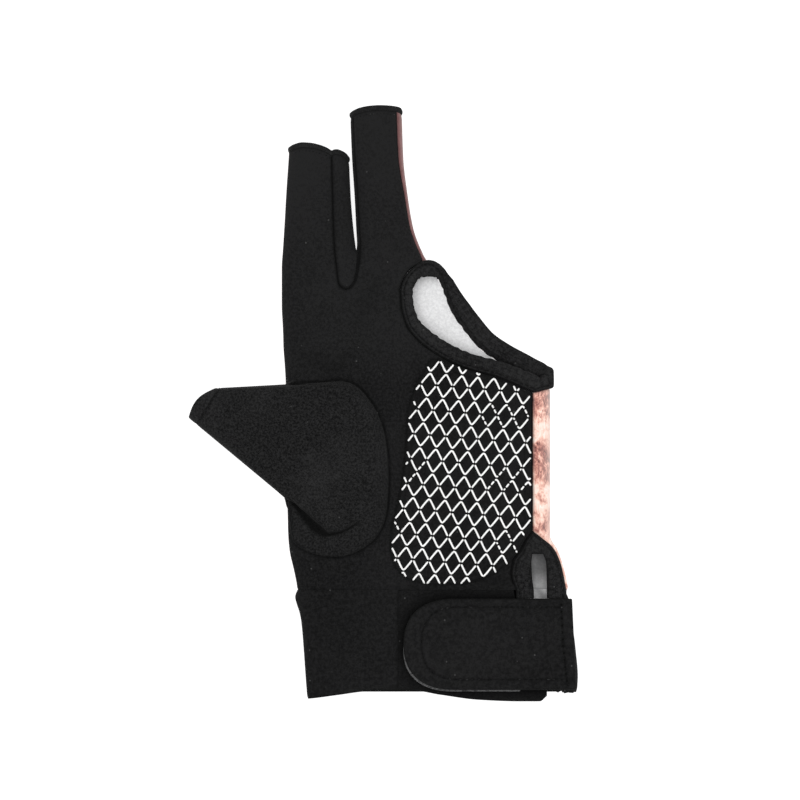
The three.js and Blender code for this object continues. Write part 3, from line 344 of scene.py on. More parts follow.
def put(tree, kind, settings=None, **inputs):
    """Adds a node, with its settings and its inputs: each a value or another node's socket."""
    new = tree.nodes.new(kind)
    for key, value in (settings or {}).items():
        setattr(new, key, value)
    for key, value in inputs.items():
        socket = new.inputs[int(key[1:])] if key[1:].isdigit() else new.inputs[key.replace("_", " ")]
        if isinstance(value, bpy.types.NodeSocket):
            tree.links.new(value, socket)
        else:
            socket.default_value = value
    return new


def maths(tree, operation, a, b=0.0, clamp=False):
    return put(tree, "ShaderNodeMath", {"operation": operation, "use_clamp": clamp}, _0=a, _1=b).outputs[0]


def noise(tree, place, scale, detail, roughness=0.5, distortion=0.0):
    """Clouds from 0 to 1."""
    return put(tree, "ShaderNodeTexNoise", None, Vector=place, Scale=scale, Detail=detail, Roughness=roughness,
               Distortion=distortion).outputs[0]


def between(tree, value, low, high, first=0.0, last=1.0, soft=False):
    """First where the value is low, last where it is high, and a straight or soft rise between."""
    rise = {"interpolation_type": "SMOOTHSTEP" if soft else "LINEAR"}
    return put(tree, "ShaderNodeMapRange", rise, Value=value, _1=low, _2=high, _3=first, _4=last).outputs[0]


def mixed(tree, share, *colours):
    """The first colour where the share is 0 and the second where it is 1."""
    first, second = (c if isinstance(c, bpy.types.NodeSocket) else (*c, 1) for c in colours)
    return put(tree, "ShaderNodeMix", {"data_type": "RGBA"}, _0=share, _6=first, _7=second).outputs[2]


def group(name, inputs, outputs):
    """A shader node group with named value or vector inputs and value outputs."""
    tree = bpy.data.node_groups.new(name, "ShaderNodeTree")
    for key, default in inputs.items():
        kind = "NodeSocketVector" if default is None else "NodeSocketFloat"
        socket = tree.interface.new_socket(key, in_out="INPUT", socket_type=kind)
        if default is not None:
            socket.default_value = default
    for key in outputs:
        tree.interface.new_socket(key, in_out="OUTPUT", socket_type="NodeSocketFloat")
    return tree, tree.nodes.new("NodeGroupInput").outputs, tree.nodes.new("NodeGroupOutput").inputs


# Knitted loops: columns of slanting V-shaped legs. Grain is 0 in the valleys and 1 on the legs.
knit, given, result = group("knit_loops", {"Vector": None, "Wale": 0.5, "Course": 0.4}, ["Height", "Grain"])
axes = put(knit, "ShaderNodeSeparateXYZ", _0=given["Vector"]).outputs
wale = maths(knit, "DIVIDE", axes[0], given["Wale"])
course = maths(knit, "DIVIDE", axes[1], given["Course"])
side = maths(knit, "PINGPONG", wale, 0.5)
leg = maths(knit, "SINE", maths(knit, "MULTIPLY", maths(knit, "SUBTRACT", course, side), 2 * math.pi))
arch = maths(knit, "SUBTRACT", 1.0, maths(knit, "MULTIPLY", maths(knit, "POWER", side, 2.0), 4.0))
loops = maths(knit, "ADD", maths(knit, "MULTIPLY", leg, 0.35), maths(knit, "MULTIPLY", arch, 0.65), clamp=True)
knit.links.new(loops, result["Height"])
knit.links.new(loops, result["Grain"])

# Brushed nap: short fibres, as clouds of two finenesses. Speckle marks the fibres that catch light.
nap, given, result = group("brushed_nap", {"Vector": None, "Fineness": 1.0}, ["Height", "Speckle", "Grain"])
coarse = noise(nap, given["Vector"], given["Fineness"], 3.0, 0.65)
hairs = noise(nap, given["Vector"], maths(nap, "MULTIPLY", given["Fineness"], 2.6), 2.0, 0.8, 0.6)
height = maths(nap, "ADD", maths(nap, "MULTIPLY", coarse, 0.6), maths(nap, "MULTIPLY", hairs, 0.4))
speckle = maths(nap, "MULTIPLY", between(nap, hairs, 0.5, 0.72, soft=True), coarse)
tufts = noise(nap, given["Vector"], maths(nap, "MULTIPLY", given["Fineness"], 0.8), 3.0, 0.85)
nap.links.new(height, result["Height"])
nap.links.new(speckle, result["Speckle"])
nap.links.new(between(nap, tufts, 0.36, 0.66, soft=True), result["Grain"])

# Handling: broad lighter places where the cloth has been pressed and rubbed, and specks of lint.
wear, given, result = group("handling_wear", {"Vector": None, "Spread": 0.03}, ["Fade", "Lint"])
broad = noise(wear, given["Vector"], given["Spread"], 4.0, 0.55)
cells = put(wear, "ShaderNodeTexVoronoi", None, Vector=given["Vector"], Scale=0.16, Randomness=1.0)
wear.links.new(between(wear, broad, 0.35, 0.7, soft=True), result["Fade"])
wear.links.new(between(wear, cells.outputs["Distance"], 0.06, 0.03), result["Lint"])

# Shadow: how much light reaches the cloth, which is less in the seams and on upright cloth.
shadow_inputs = {"Shade": 0.0, "Upright": 0.0, "Seam": 0.88, "Edge": 0.5}
shadow, given, result = group("seam_shadow", shadow_inputs, ["Light"])
turned = maths(shadow, "MULTIPLY", maths(shadow, "POWER", given["Upright"], 2.5), given["Edge"])
lit = maths(shadow, "SUBTRACT", 1.0, maths(shadow, "MULTIPLY", given["Shade"], given["Seam"]), clamp=True)
turned = maths(shadow, "SUBTRACT", 1.0, turned, clamp=True)
shadow.links.new(maths(shadow, "MULTIPLY", lit, turned), result["Light"])


def upright(tree):
    """0 where the cloth lies flat and 1 where it stands on edge: one less its normal's z part."""
    normal = put(tree, "ShaderNodeNewGeometry").outputs["Normal"]
    rise = put(tree, "ShaderNodeSeparateXYZ", _0=normal).outputs[2]
    return maths(tree, "SUBTRACT", 1.0, maths(tree, "ABSOLUTE", rise), clamp=True)


def shaded(tree, colour, seam=0.88, edge=0.5):
    """The colour with the seams' and edges' shadow on it."""
    mark = put(tree, "ShaderNodeAttribute", {"attribute_name": "shade"}).outputs["Fac"]
    light = put(tree, "ShaderNodeGroup", {"node_tree": shadow}, Shade=mark, Upright=upright(tree), Seam=seam,
                Edge=edge)
    return mixed(tree, light.outputs[0], (0.0012, 0.0012, 0.0012), colour)


def placed(tree, source, scale=(1, 1, 1), turn=0.0):
    """Object coordinates or the flat cloth's, in millimetres, scaled and turned."""
    place = put(tree, "ShaderNodeTexCoord").outputs[source]
    size = 1000 if source == "Object" else 1
    return put(tree, "ShaderNodeMapping", None, Vector=place, Scale=[s * size for s in scale],
               Rotation=(0, 0, turn)).outputs[0]


def new_material(name):
    material = bpy.data.materials.new(name)
    material.use_nodes = True
    return material, material.node_tree


def finished(tree, colour, dull, height, strength, depth, **values):
    """Leads colour, roughness and relief into the shader, and sets its plain values."""
    shader = tree.nodes["Principled BSDF"]
    bump = put(tree, "ShaderNodeBump", None, Strength=strength, Distance=depth, Height=height).outputs[0]
    for key, socket in (("Base Color", colour), ("Roughness", dull), ("Normal", bump)):
        tree.links.new(socket, shader.inputs[key])
    for key, value in values.items():
        shader.inputs[key.replace("_", " ")].default_value = value


def fabric(name, dark, light, wale=0.5, course=0.42, knit_share=0.5, fineness=1.3, nap_share=0.5,
           speckle=0.5, relief=0.12, rough=(0.82, 0.97), sheen=0.02, source="Object", gloss=0.05, edge=0.5,
           grain=0.7, painted_light_to_fingers=0.0, lint=0.05):
    """A dyed cloth: knit loops and nap set its relief, and mix its dark and light colours with
    the wear and the lint."""
    material, tree = new_material(name)
    place, flat = placed(tree, "Object"), placed(tree, source)
    loops = put(tree, "ShaderNodeGroup", {"node_tree": knit}, Vector=flat, Wale=wale, Course=course).outputs
    hairs = put(tree, "ShaderNodeGroup", {"node_tree": nap}, Vector=place, Fineness=fineness).outputs
    worn = put(tree, "ShaderNodeGroup", {"node_tree": wear}, Vector=place).outputs
    # Painted light: along y, towards the fingers, the colour shifts towards the light one, by up to the share
    # given.
    high = put(tree, "ShaderNodeSeparateXYZ", _0=place).outputs[1]
    shade = between(tree, high, 0.0, 90.0, 0.0, painted_light_to_fingers)
    for socket, share in (
        (loops["Grain"], 0.5 * knit_share), (hairs["Speckle"], speckle), (worn["Fade"], 0.3),
        (hairs["Grain"], grain),
    ):
        shade = maths(tree, "ADD", shade, maths(tree, "MULTIPLY", socket, share))
    shade = maths(tree, "MINIMUM", shade, 1.0)
    colour = mixed(tree, worn["Lint"], mixed(tree, shade, dark, light), (lint, lint, lint))
    height = maths(tree, "ADD", maths(tree, "MULTIPLY", loops["Height"], knit_share),
                   maths(tree, "MULTIPLY", hairs["Height"], nap_share))
    dull = between(tree, shade, 0.0, 1.0, rough[1], rough[0])
    finished(tree, shaded(tree, colour, edge=edge), dull, height, 0.6, relief / 1000, Sheen_Weight=sheen,
             Sheen_Roughness=0.6, Specular_IOR_Level=gloss)
    return material


black_jersey = fabric("black_jersey", (0.0028, 0.0028, 0.0029), (0.0135, 0.0135, 0.0138), speckle=0.3,
                      painted_light_to_fingers=0.42)

# The finest rows run by the wrist seam and the finger tips.
hand_at = np.concatenate([[0, 0.002, 0.005], np.linspace(0.009, 1, 150)])
near_crotch = [0, 0.002, 0.005, 0.009, 0.014, 0.02, 0.028]
index_at = np.concatenate([near_crotch, np.linspace(0.04, 1 - TIP_BAND / INDEX_LENGTH, 70)])
middle_at = np.concatenate([near_crotch, np.linspace(0.04, 1 - TIP_BAND / MIDDLE_LENGTH, 88)])
WRIST_CENTRE = 0.45


def centre_of(at):
    """The hand's middle line, from the wrist to the crotch between the fingers."""
    at = np.asarray(at, float).reshape(-1, 1)
    return PALM_WIDTH * (WRIST_CENTRE + (INDEX["stitch"][0] - WRIST_CENTRE) * at)


hand = hand_row(hand_at)
index = index_row(index_at)
middle = middle_row(middle_at)
palm_grids = [
    stretch(hand, top_of, hand["left"], centre_of(hand_at), 60),
    stretch(hand, top_of, centre_of(hand_at), across(PALM_EDGE, "x", hand_at), 52),
    stretch(index, top_of, index["left"], across(INDEX, "stitch", index_at), 60),
    stretch(middle, top_of, across(MIDDLE, "stitch", middle_at), across(MIDDLE, "seam", middle_at), 52),
]
palm_surface = weld(*palm_grids)

# The thumb's base seam, its neck and its place at the open tip, needed here for the hole.
THUMB_REACH, THUMB_TIP_WIDTH, THUMB_LENGTH, THUMB_HEM = 33.5, 13.8, 53.6, 2.9
THUMB_LEVEL, THUMB_TIP_LEVEL, THUMB_TIP_THICKNESS, THUMB_BASE = 13.8, 5, 8, 0.2
THUMB_TIP_TOP, THUMB_TIP_TURN, THUMB_TIP_BULGE = 0.671, 0.86, 0.13
THUMB = table("seamX seamY neckX neckY rise tip under", [
    (0.029, 0.677, 0.007, 0.678, 0.15, 0, 0), (0.136, 0.693, 0.129, 0.68, 0.78, 0.05, 0),
    (0.254, 0.693, 0.224, 0.662, 0.93, 0.12, 0), (0.331, 0.63, 0.283, 0.605, 0.98, 0.2, 0),
    (0.379, 0.54, 0.32, 0.525, 1, 0.3, 0), (0.397, 0.433, 0.331, 0.433, 1, 0.4, 0),
    (0.397, 0.317, 0.325, 0.343, 1, 0.5, 0), (0.382, 0.227, 0.3, 0.273, 0.97, 0.6, 0),
    (0.338, 0.163, 0.262, 0.225, 0.9, 0.7, 0), (0.261, 0.12, 0.217, 0.198, 0.8, 0.79, 0),
    (0.18, 0.11, 0.178, 0.19, 0.7, 0.87, 0), (0.099, 0.127, 0.146, 0.207, 0.58, 0.94, 0),
    (0.042, 0.163, 0.104, 0.239, 0.45, 0.985, 0), (0.026, 0.215, 0.062, 0.271, 0.28, 1, 0),
    (0.021, 0.285, 0.008, 0.315, 0.03, 0.86, 1), (0.019, 0.4, -0.012, 0.4, 0.02, 0.63, 1),
    (0.018, 0.5, -0.015, 0.5, 0.02, 0.4, 1), (0.018, 0.593, -0.012, 0.593, 0.03, 0.18, 1),
])


def loop_through(points, finer):
    """A closed curve through points, with finer points to each: the cubic between two of them
    has, at each end, half the step between that end's neighbours as its slope."""
    before, after, beyond = np.roll(points, 1, 0), np.roll(points, -1, 0), np.roll(points, -2, 0)
    t = (np.arange(finer) / finer)[None, :, None]
    p, b, a, y = (x[:, None] for x in (points, before, after, beyond))
    slope, far_slope = (a - b) / 2, (y - p) / 2
    curve = p + slope * t + (3 * (a - p) - 2 * slope - far_slope) * t**2
    curve = curve + (2 * (p - a) + slope + far_slope) * t**3
    return curve.reshape(-1, points.shape[1])


def palm_height(x, y):
    """The palm's upper surface at any places."""
    row = hand_row(np.asarray(y) / HAND_LENGTH)
    return top_of(row, np.asarray(x, float).reshape(-1, 1))[:, 0]


THUMB_FINER = 12
under = THUMB["under"]
seam_x = np.where(under > 0, hand_row(THUMB["seamY"])["left"][:, 0], THUMB["seamX"] * PALM_WIDTH)
thumb_seam = loop_through(np.stack([seam_x, THUMB["seamY"] * HAND_LENGTH, 0 * seam_x], -1), THUMB_FINER)
thumb_seam[:, 2] = np.maximum(palm_height(thumb_seam[:, 0], thumb_seam[:, 1]), SIDE_LEVEL + 1.5 * SEAM_GAP)
on_palm = thumb_seam[:, 2] > SIDE_LEVEL + 2 * SEAM_GAP


def unit(vectors):
    return vectors / np.maximum(np.linalg.norm(vectors, axis=1), 1e-6)[:, None]


def distance_along(path):
    return np.concatenate([[0], np.linalg.norm(np.diff(path, axis=0), axis=1).cumsum()])


def read_off(columns, run, want):
    """What the columns are at the wanted distances, when their rows lie at the distances in run."""
    return np.stack([np.interp(want, run, column) for column in columns.T], -1)


def evenly(path, step):
    """Points a step apart along a path, with the path's direction at each."""
    run = distance_along(path)
    points = read_off(path, run, np.linspace(0, run[-1], max(2, int(round(run[-1] / step))) + 1))
    return points, unit(np.gradient(points, axis=0))


def inside(points, outline):
    """Which points lie within a closed outline, by counting the sides crossed on the way out."""
    x, y = points[:, :1], points[:, 1:2]
    (x0, y0), (x1, y1) = outline.T, np.roll(outline, -1, 0).T
    crossed = (y0 > y) != (y1 > y)
    where = x0 + (y - y0) * (x1 - x0) / np.where(y1 == y0, 1e-9, y1 - y0)
    return (crossed & (x < where)).sum(1) % 2 == 1


hole = thumb_seam[on_palm][:, :2]
hole = hole + unit(hole.mean(0) - hole)
hole = np.concatenate([hole, [[-9, hole[-1, 1]], [-9, hole[0, 1]]]])

finger_tips = np.concatenate([grid[-1] for grid in palm_grids[2:]])
base_line, _ = evenly(thumb_seam[on_palm], 0.25)
wrist_line = np.concatenate([palm_grids[0][0], palm_grids[1][0]])
palm_relief, palm_shade = sewn(palm_surface, 0.32, more=[base_line], faint=[finger_tips])
palm_shade = np.where(nearness(palm_surface[0], wrist_line) < 2, 0.12 * palm_shade, palm_shade)
# Painted shade in soft bands along the palm's creases; bands with negative heights take away shade.
palm_shade = palm_shade + creases(palm_surface[0], [
    (36, 114, 24, 90, 3.2, 0.22), (26, 104, 20, 84, 3, -0.1), (44, 108, 40, 86, 3, -0.12),
    (6, 84, 26, 79, 3.5, 0.3), (26, 78, 42, 62, 2.5, 0.16), (45, 62, 43, 34, 2.6, 0.25),
    (46, 14, 70, 7, 3, 0.15), (3, 100, 12, 66, 4, 0.08), (60, 3, 92, 2.5, 2.2, 0.3), (40, 1, 62, 1.5, 2, 0.2),
])
palm_relief = palm_relief + creases(palm_surface[0], [
    (22, 97, 20, 62, 5, 0.35), (31, 96, 40, 66, 5, -0.3), (4, 92, 16, 60, 6, 0.25),
    (46, 82, 52, 20, 7, -0.25), (8, 10, 36, 4, 3, 0.45), (30, 2, 62, 6, 2.6, -0.35),
    (14, 2.5, 40, 1, 1.8, 0.4), (5, 0.5, 15, 4.5, 0.9, 0.35), (84, 60, 88, 20, 2.5, 0.3),
])
points, quads, flats, first = palm_surface
kept = ~inside(points[quads].mean(1), hole)
palm = shell((points, quads[kept], flats[kept], first), WALL, palm_relief, palm_shade)
palm_cloth = piece("palm", palm, [black_jersey, black_jersey], "palm_panel")

# Back panel: white stretch jersey, printed on its outside with a mottled pattern of cream, peach
# and brown. It comes round the little-finger side onto the palm, and round the middle finger's
# far side. Its white reverse shows through the two openings.
SLIT_TOP, CORNER_PALM, CORNER_SIDE, STRIP_START = 0.2, 0.655, 0.673, 0.155
WRAP_EDGE = table("at x", [
    (0, 1.051), (0.076, 1.034), (0.114, 1.019), (0.145, 0.998), (0.181, 0.949), (0.2, 0.926), (0.673, 0.926),
])
BACK_EDGE = table("at x", [
    (0, 0.971), (0.673, 0.971), (0.713, 0.897), (0.757, 0.805), (0.803, 0.732), (0.853, 0.684), (0.93, 0.625),
    (1, 0.596),
])


def wrap_rows(at):
    """Rows of the side strip, from the back round the fold onto the palm. The last ones lean, so
    that they end level with the palm's corner."""
    at = np.asarray(at, float)
    row = hand_row(at)
    end = across(WRAP_EDGE, "x", at)
    below = stretch(row, bottom_of, across(BACK_EDGE, "x", at), row["right"], 12)
    above = stretch(row, top_of, row["right"], end, 22)
    lean = (CORNER_SIDE - CORNER_PALM) * HAND_LENGTH * smooth((at / CORNER_SIDE - 0.9) * 10)
    above[..., 1] -= lean[:, None] * (row["right"] - above[..., 0]) / (row["right"] - end)
    return np.concatenate([below, above[:, 1:]], 1)


wrap_at = np.concatenate([hand_at[hand_at < CORNER_SIDE], [CORNER_SIDE]])
back_at = np.unique(np.concatenate([hand_at, [CORNER_SIDE]]))
back_hand = hand_row(back_at)
strip_at = np.concatenate([[STRIP_START], middle_at[middle_at > STRIP_START]])
finger_at = np.unique(np.concatenate([middle_at, [STRIP_START]]))
back_middle, strip = middle_row(finger_at), middle_row(strip_at)
back_grids = [
    grid[:, ::-1]
    for grid in (
        stretch(back_hand, bottom_of, back_hand["left"], centre_of(back_at), 44),
        stretch(back_hand, bottom_of, centre_of(back_at), across(BACK_EDGE, "x", back_at), 44),
        wrap_rows(wrap_at),
        stretch(index, bottom_of, index["left"], across(INDEX, "backStitch", index_at), 44),
        stretch(back_middle, bottom_of, across(MIDDLE, "backStitch", finger_at),
                across(MIDDLE, "backEdge", finger_at), 44),
        stretch(strip, top_of, strip["right"], across(MIDDLE, "seam", strip_at), 12),
    )
]
back_surface = weld(*back_grids)


def ramp(tree, value, stops):
    """A colour band: stops are places from 0 to 1 with their colours or grey levels."""
    band = put(tree, "ShaderNodeValToRGB", None, Fac=value)
    for _ in stops[2:]:
        band.color_ramp.elements.new(0.5)
    for element, (where, colour) in zip(band.color_ramp.elements, sorted(stops)):
        element.position = where
        element.color = (*(colour if isinstance(colour, tuple) else (colour,) * 3), 1)
    return band.outputs[0]


printed_cloth, tree = new_material("printed_jersey")
place = placed(tree, "Object")
clouds = noise(tree, place, 0.08, 6.0, 0.65, 0.8)
strokes = noise(tree, placed(tree, "Object", (1, 0.45, 1), 0.35), 0.6, 6.0, 0.72, 1.2)
high = put(tree, "ShaderNodeSeparateXYZ", _0=place).outputs[1]
# Dark and light bands of the pattern up the hand's side.
bands = ramp(tree, between(tree, high, -67.0, 13.0), [
    (0.0, 0.52), (1.0, 0.5), (0.27, 0.44), (0.33, 0.56), (0.49, 0.55), (0.58, 0.3), (0.65, 0.38), (0.7, 0.6),
    (0.77, 0.56), (0.84, 0.32),
])
pattern = maths(tree, "ADD", maths(tree, "MULTIPLY", clouds, 0.6), maths(tree, "MULTIPLY", strokes, 0.4))
pattern = maths(tree, "ADD", pattern, maths(tree, "MULTIPLY", maths(tree, "SUBTRACT", bands, 0.5), 0.42))
blend = ramp(tree, pattern, [
    (0.38, (0.1, 0.032, 0.03)), (0.62, (0.98, 0.9, 0.85)), (0.445, (0.42, 0.165, 0.135)),
    (0.49, (0.8, 0.42, 0.33)), (0.54, (0.96, 0.69, 0.58)),
])
# The pattern turns a dusty mauve towards the fingers, and a painted highlight makes it paler where the cloth
# stands upright at the side fold.
to_fingers = between(tree, high, 18.0, 44.0, soft=True)
soft = maths(tree, "MULTIPLY", maths(tree, "ADD", strokes, clouds), 0.5)
dusty = ramp(tree, soft, [(0.3, (0.105, 0.045, 0.045)), (0.7, (0.3, 0.16, 0.155)), (0.5, (0.19, 0.088, 0.086))])
on_hand = maths(tree, "SUBTRACT", 0.75, maths(tree, "MULTIPLY", to_fingers, 0.6))
painted_fold_light = maths(tree, "MULTIPLY", upright(tree), on_hand, clamp=True)
print_colour = mixed(tree, painted_fold_light, mixed(tree, to_fingers, blend, dusty), (0.95, 0.84, 0.78))
loops = put(tree, "ShaderNodeGroup", {"node_tree": knit}, Vector=place, Wale=0.5, Course=0.42).outputs
worn = put(tree, "ShaderNodeGroup", {"node_tree": wear}, Vector=place).outputs
finished(tree, shaded(tree, print_colour, edge=0.0), between(tree, worn["Fade"], 0.0, 1.0, 0.88, 0.72),
         loops["Height"], 0.5, 0.00008, Specular_IOR_Level=0.2, Sheen_Weight=0.05)

white_lining = fabric("white_lining", (0.6, 0.6, 0.605), (0.8, 0.8, 0.805), knit_share=0.35, speckle=0.15,
                      relief=0.1, rough=(0.75, 0.9), gloss=0.1, edge=0.0, lint=0.7)
back_relief, back_shade = sewn(back_surface, 0.6, 0.6, faint=[grid[-1] for grid in back_grids[3:]])
points = back_surface[0]
side_fold = bell(points[:, 0] - across(OUTLINE, "left", points[:, 1] / HAND_LENGTH)[:, 0], 1.5)
back_shade = np.maximum(back_shade * 0.8, 1.1 * side_fold * (points[:, 1] < HAND_LENGTH))
# The lining is painted in deep shade at the wrist slit, deepest under the slit's top, with a
# painted lighter streak running up it.
in_slit = np.clip((points[:, 0] - 0.85 * PALM_WIDTH) / 4, 0, 1) * (points[:, 2] < SIDE_LEVEL)
painted_streak = 0.13 * bell(points[:, 0] - 91.2, 1) * bell(points[:, 1] - 10.5, 3.5)
deep = 0.56 + 0.35 * smooth((points[:, 1] - 1) / 7) - painted_streak
lining_shade = in_slit * smooth((22 - points[:, 1]) / 7) * deep
back_cloth = piece("back", shell(back_surface, WALL, back_relief, back_shade, lining_shade),
                   [printed_cloth, white_lining], "back_panel")
# The lining's seam allowance lies turned down inside the cuff and shows at the slit.
turned_at = np.linspace(-5.5, 0.2, 12)[:, None]
turned_x = np.linspace(0.9, 0.985, 16)[None] * PALM_WIDTH
turned_down = weld(np.stack(np.broadcast_arrays(turned_x, turned_at, 2.35 + 0.05 * np.sin(turned_x)), -1))
turned_shade = 0.5 + 0.2 * np.sin(turned_down[0][:, 0] * 1.3 + turned_down[0][:, 1] * 0.7)
lining_hem = piece("lining_hem", shell(turned_down, 0.6, 0, turned_shade, turned_shade),
                   [white_lining, white_lining], None)

# Finger gusset: a narrow black strip that runs from one finger tip down into the crotch and up
# to the other, so that the fingers are round. It folds in at the middle of its width.
CUSP_X, CUSP_INDEX, CUSP_MIDDLE = 0.278, 0.27, 0.22
cusp = np.array([CUSP_X * PALM_WIDTH, HAND_LENGTH + CUSP_INDEX * INDEX_LENGTH, SIDE_LEVEL])


def rounded(seam, fold, roll, count):
    """From seam to fold: straight in plan, and an ellipse's quarter in height, level at the seam
    and upright at the fold."""
    share = np.sin(np.linspace(0, np.pi / 2, count + 1))[None, :]
    reach = np.hypot(*(seam - fold)[:, :2].T)[:, None]
    path = seam[:, None] + (fold - seam)[:, None] * share[..., None]
    height = (seam - fold)[:, 2:]
    path[..., 2] = fold[:, 2:] + height * quarter(reach * (1 - share) / roll) / quarter(reach / roll)
    return path


def gusset_rows(row, side, columns, at, cusp_at):
    """Rows of the gusset on one finger, from the palm's stitch line round the fold to the back's."""
    side_line = np.concatenate([side, row["y"], 0 * side + SIDE_LEVEL], 1)
    fold = np.where((at < cusp_at)[:, None], cusp, side_line)
    halves = []
    for name, surface, roll in (("stitch", top_of, TOP_ROLL), ("backStitch", bottom_of, FLOOR_ROLL)):
        x = across(columns, name, at)
        halves.append(rounded(np.concatenate([x, row["y"], surface(row, x)], 1), fold, roll, 16))
    rows = np.concatenate([halves[0], halves[1][:, -2::-1]], 1)
    rows[..., 1] -= drawn(row, rows[..., 0])
    return rows


on_index = gusset_rows(index, index["right"], INDEX, index_at, CUSP_INDEX)
on_middle = gusset_rows(middle, middle["left"], MIDDLE, middle_at, CUSP_MIDDLE)
gusset_surface = weld(np.concatenate([on_index[::-1], on_middle[1:]])[:, ::-1])
gusset_tips = np.concatenate([on_index[-1], on_middle[-1]])
gusset_cloth = piece("gusset", shell(gusset_surface, WALL, *sewn(gusset_surface, faint=[gusset_tips])),
                     [black_jersey, black_jersey], "finger_gusset")

# Thumb: a tube of black brushed stretch cloth, sewn into the palm's hole. It lies flattened, with
# its open end away from the fingers, and it is slack where it leaves the palm.
brushed_cloth = fabric("brushed_suede", (0.0015, 0.0015, 0.0016), (0.022, 0.022, 0.0223), knit_share=0.12,
                       fineness=1.7, nap_share=0.9, speckle=0.6, relief=0.16, rough=(0.9, 1.0), sheen=0.04,
                       gloss=0.04, grain=0.75)
neck_points = np.stack([
    THUMB["neckX"] * PALM_WIDTH,
    THUMB["neckY"] * HAND_LENGTH,
    SIDE_LEVEL + (THUMB_LEVEL - SIDE_LEVEL) * THUMB["rise"],
], -1)
along = np.array([-math.cos(THUMB_TIP_TURN), -math.sin(THUMB_TIP_TURN), 0])
outward = np.array([along[1], -along[0], 0])
start = np.array([-THUMB_REACH - along[0] * THUMB_TIP_WIDTH, THUMB_TIP_TOP * HAND_LENGTH, THUMB_TIP_LEVEL])
tip = THUMB["tip"][:, None]
lens = np.sqrt(np.maximum(0, 1 - (2 * tip - 1) ** 2)) * np.where(under[:, None] > 0, -1, 1)
tip_points = start + along * tip * THUMB_TIP_WIDTH
tip_points = tip_points + outward * np.sin(np.pi * tip) * THUMB_TIP_BULGE * THUMB_TIP_WIDTH
tip_points = tip_points + np.array([0, 0, THUMB_TIP_THICKNESS / 2]) * lens
neck, open_tip = loop_through(neck_points, THUMB_FINER), loop_through(tip_points, THUMB_FINER)


def thumb_rings(share):
    """Rings from the base seam (0) over the neck (THUMB_BASE) straight to the open tip (1). They
    rise from the palm as a quarter of a sine."""
    v = np.asarray(share, float)[:, None, None]
    low, high = np.clip(v / THUMB_BASE, 0, 1), np.clip((v - THUMB_BASE) / (1 - THUMB_BASE), 0, 1)
    rings = thumb_seam + (neck - thumb_seam) * low
    rings[..., 2] = thumb_seam[:, 2] + (neck - thumb_seam)[:, 2] * np.sin(low[..., 0] * np.pi / 2)
    rings = rings + (open_tip - neck) * high
    return np.concatenate([rings, rings[:, :1]], 1)[:, ::-1]


hem_at = 1 - THUMB_HEM / THUMB_LENGTH
thumb_surface = weld(thumb_rings(np.concatenate([
    np.linspace(0, THUMB_BASE, 26), np.linspace(THUMB_BASE, hem_at, 60)[1:],
])))
# Below the thumb's lower edge its slack makes a pocket, which runs out to the right as a crease; it
# is sunk into the cloth and painted in shadow. Each line below is a point of it and its half width.
POCKET = table("x y width", [
    (2.4, 33.2, 0.35), (5, 30.4, 1), (8.6, 26.6, 1.9), (12, 23, 2.4), (14.8, 20.9, 1.7), (17, 19.9, 0.8),
    (21.6, 20.8, 0.65), (25, 22.5, 0.5), (28.1, 24.7, 0.3),
])
pocket_line, _ = evenly(np.stack([POCKET["x"], POCKET["y"], POCKET["width"]], -1), 0.3)
points = thumb_surface[0]
apart = np.linalg.norm(points[:, None, :2] - pocket_line[None, :, :2], axis=2) / pocket_line[None, :, 2]
pocket = bell(apart.min(1), 1) * (points[:, 2] > SIDE_LEVEL - 1)
thumb_relief, thumb_shade = sewn(thumb_surface, 0.45, 0.7, faint=[thumb_rings([hem_at])[0]])
thumb_relief = thumb_relief * (0.5 + 0.5 * smooth((points[:, 1] - 14) / 25)) - 0.9 * pocket
thumb_shade = thumb_shade * (0.45 + 0.55 * smooth((points[:, 1] - 14) / 25))
# Painted shadow in the pocket, darkest along its middle.
thumb_shade = np.maximum(thumb_shade, smooth(pocket * 1.3 - 0.15))
thumb_cloth = piece("thumb_tube", shell(thumb_surface, WALL, thumb_relief, thumb_shade),
                    [brushed_cloth, brushed_cloth], "thumb")
hem_surface = weld(thumb_rings(np.linspace(hem_at, 1, 9)))
hem_relief, hem_shade = sewn(hem_surface, 0.2, 0.4)
thumb_hem = piece("thumb_hem", shell(hem_surface, WALL, hem_relief, hem_shade * 0.7),
                  [brushed_cloth, brushed_cloth], "thumb_tip_band")

# Finger tip bands: the cut edges of index and middle finger, overlocked with black thread, which
# lies in close ribs across the edge.
overlock = fabric("overlock_thread", (0.003, 0.003, 0.0032), (0.011, 0.011, 0.0112), wale=0.7, course=0.6,
                  knit_share=0.8, speckle=0.3, relief=0.2, source="UV", gloss=0.12, rough=(0.6, 0.85))


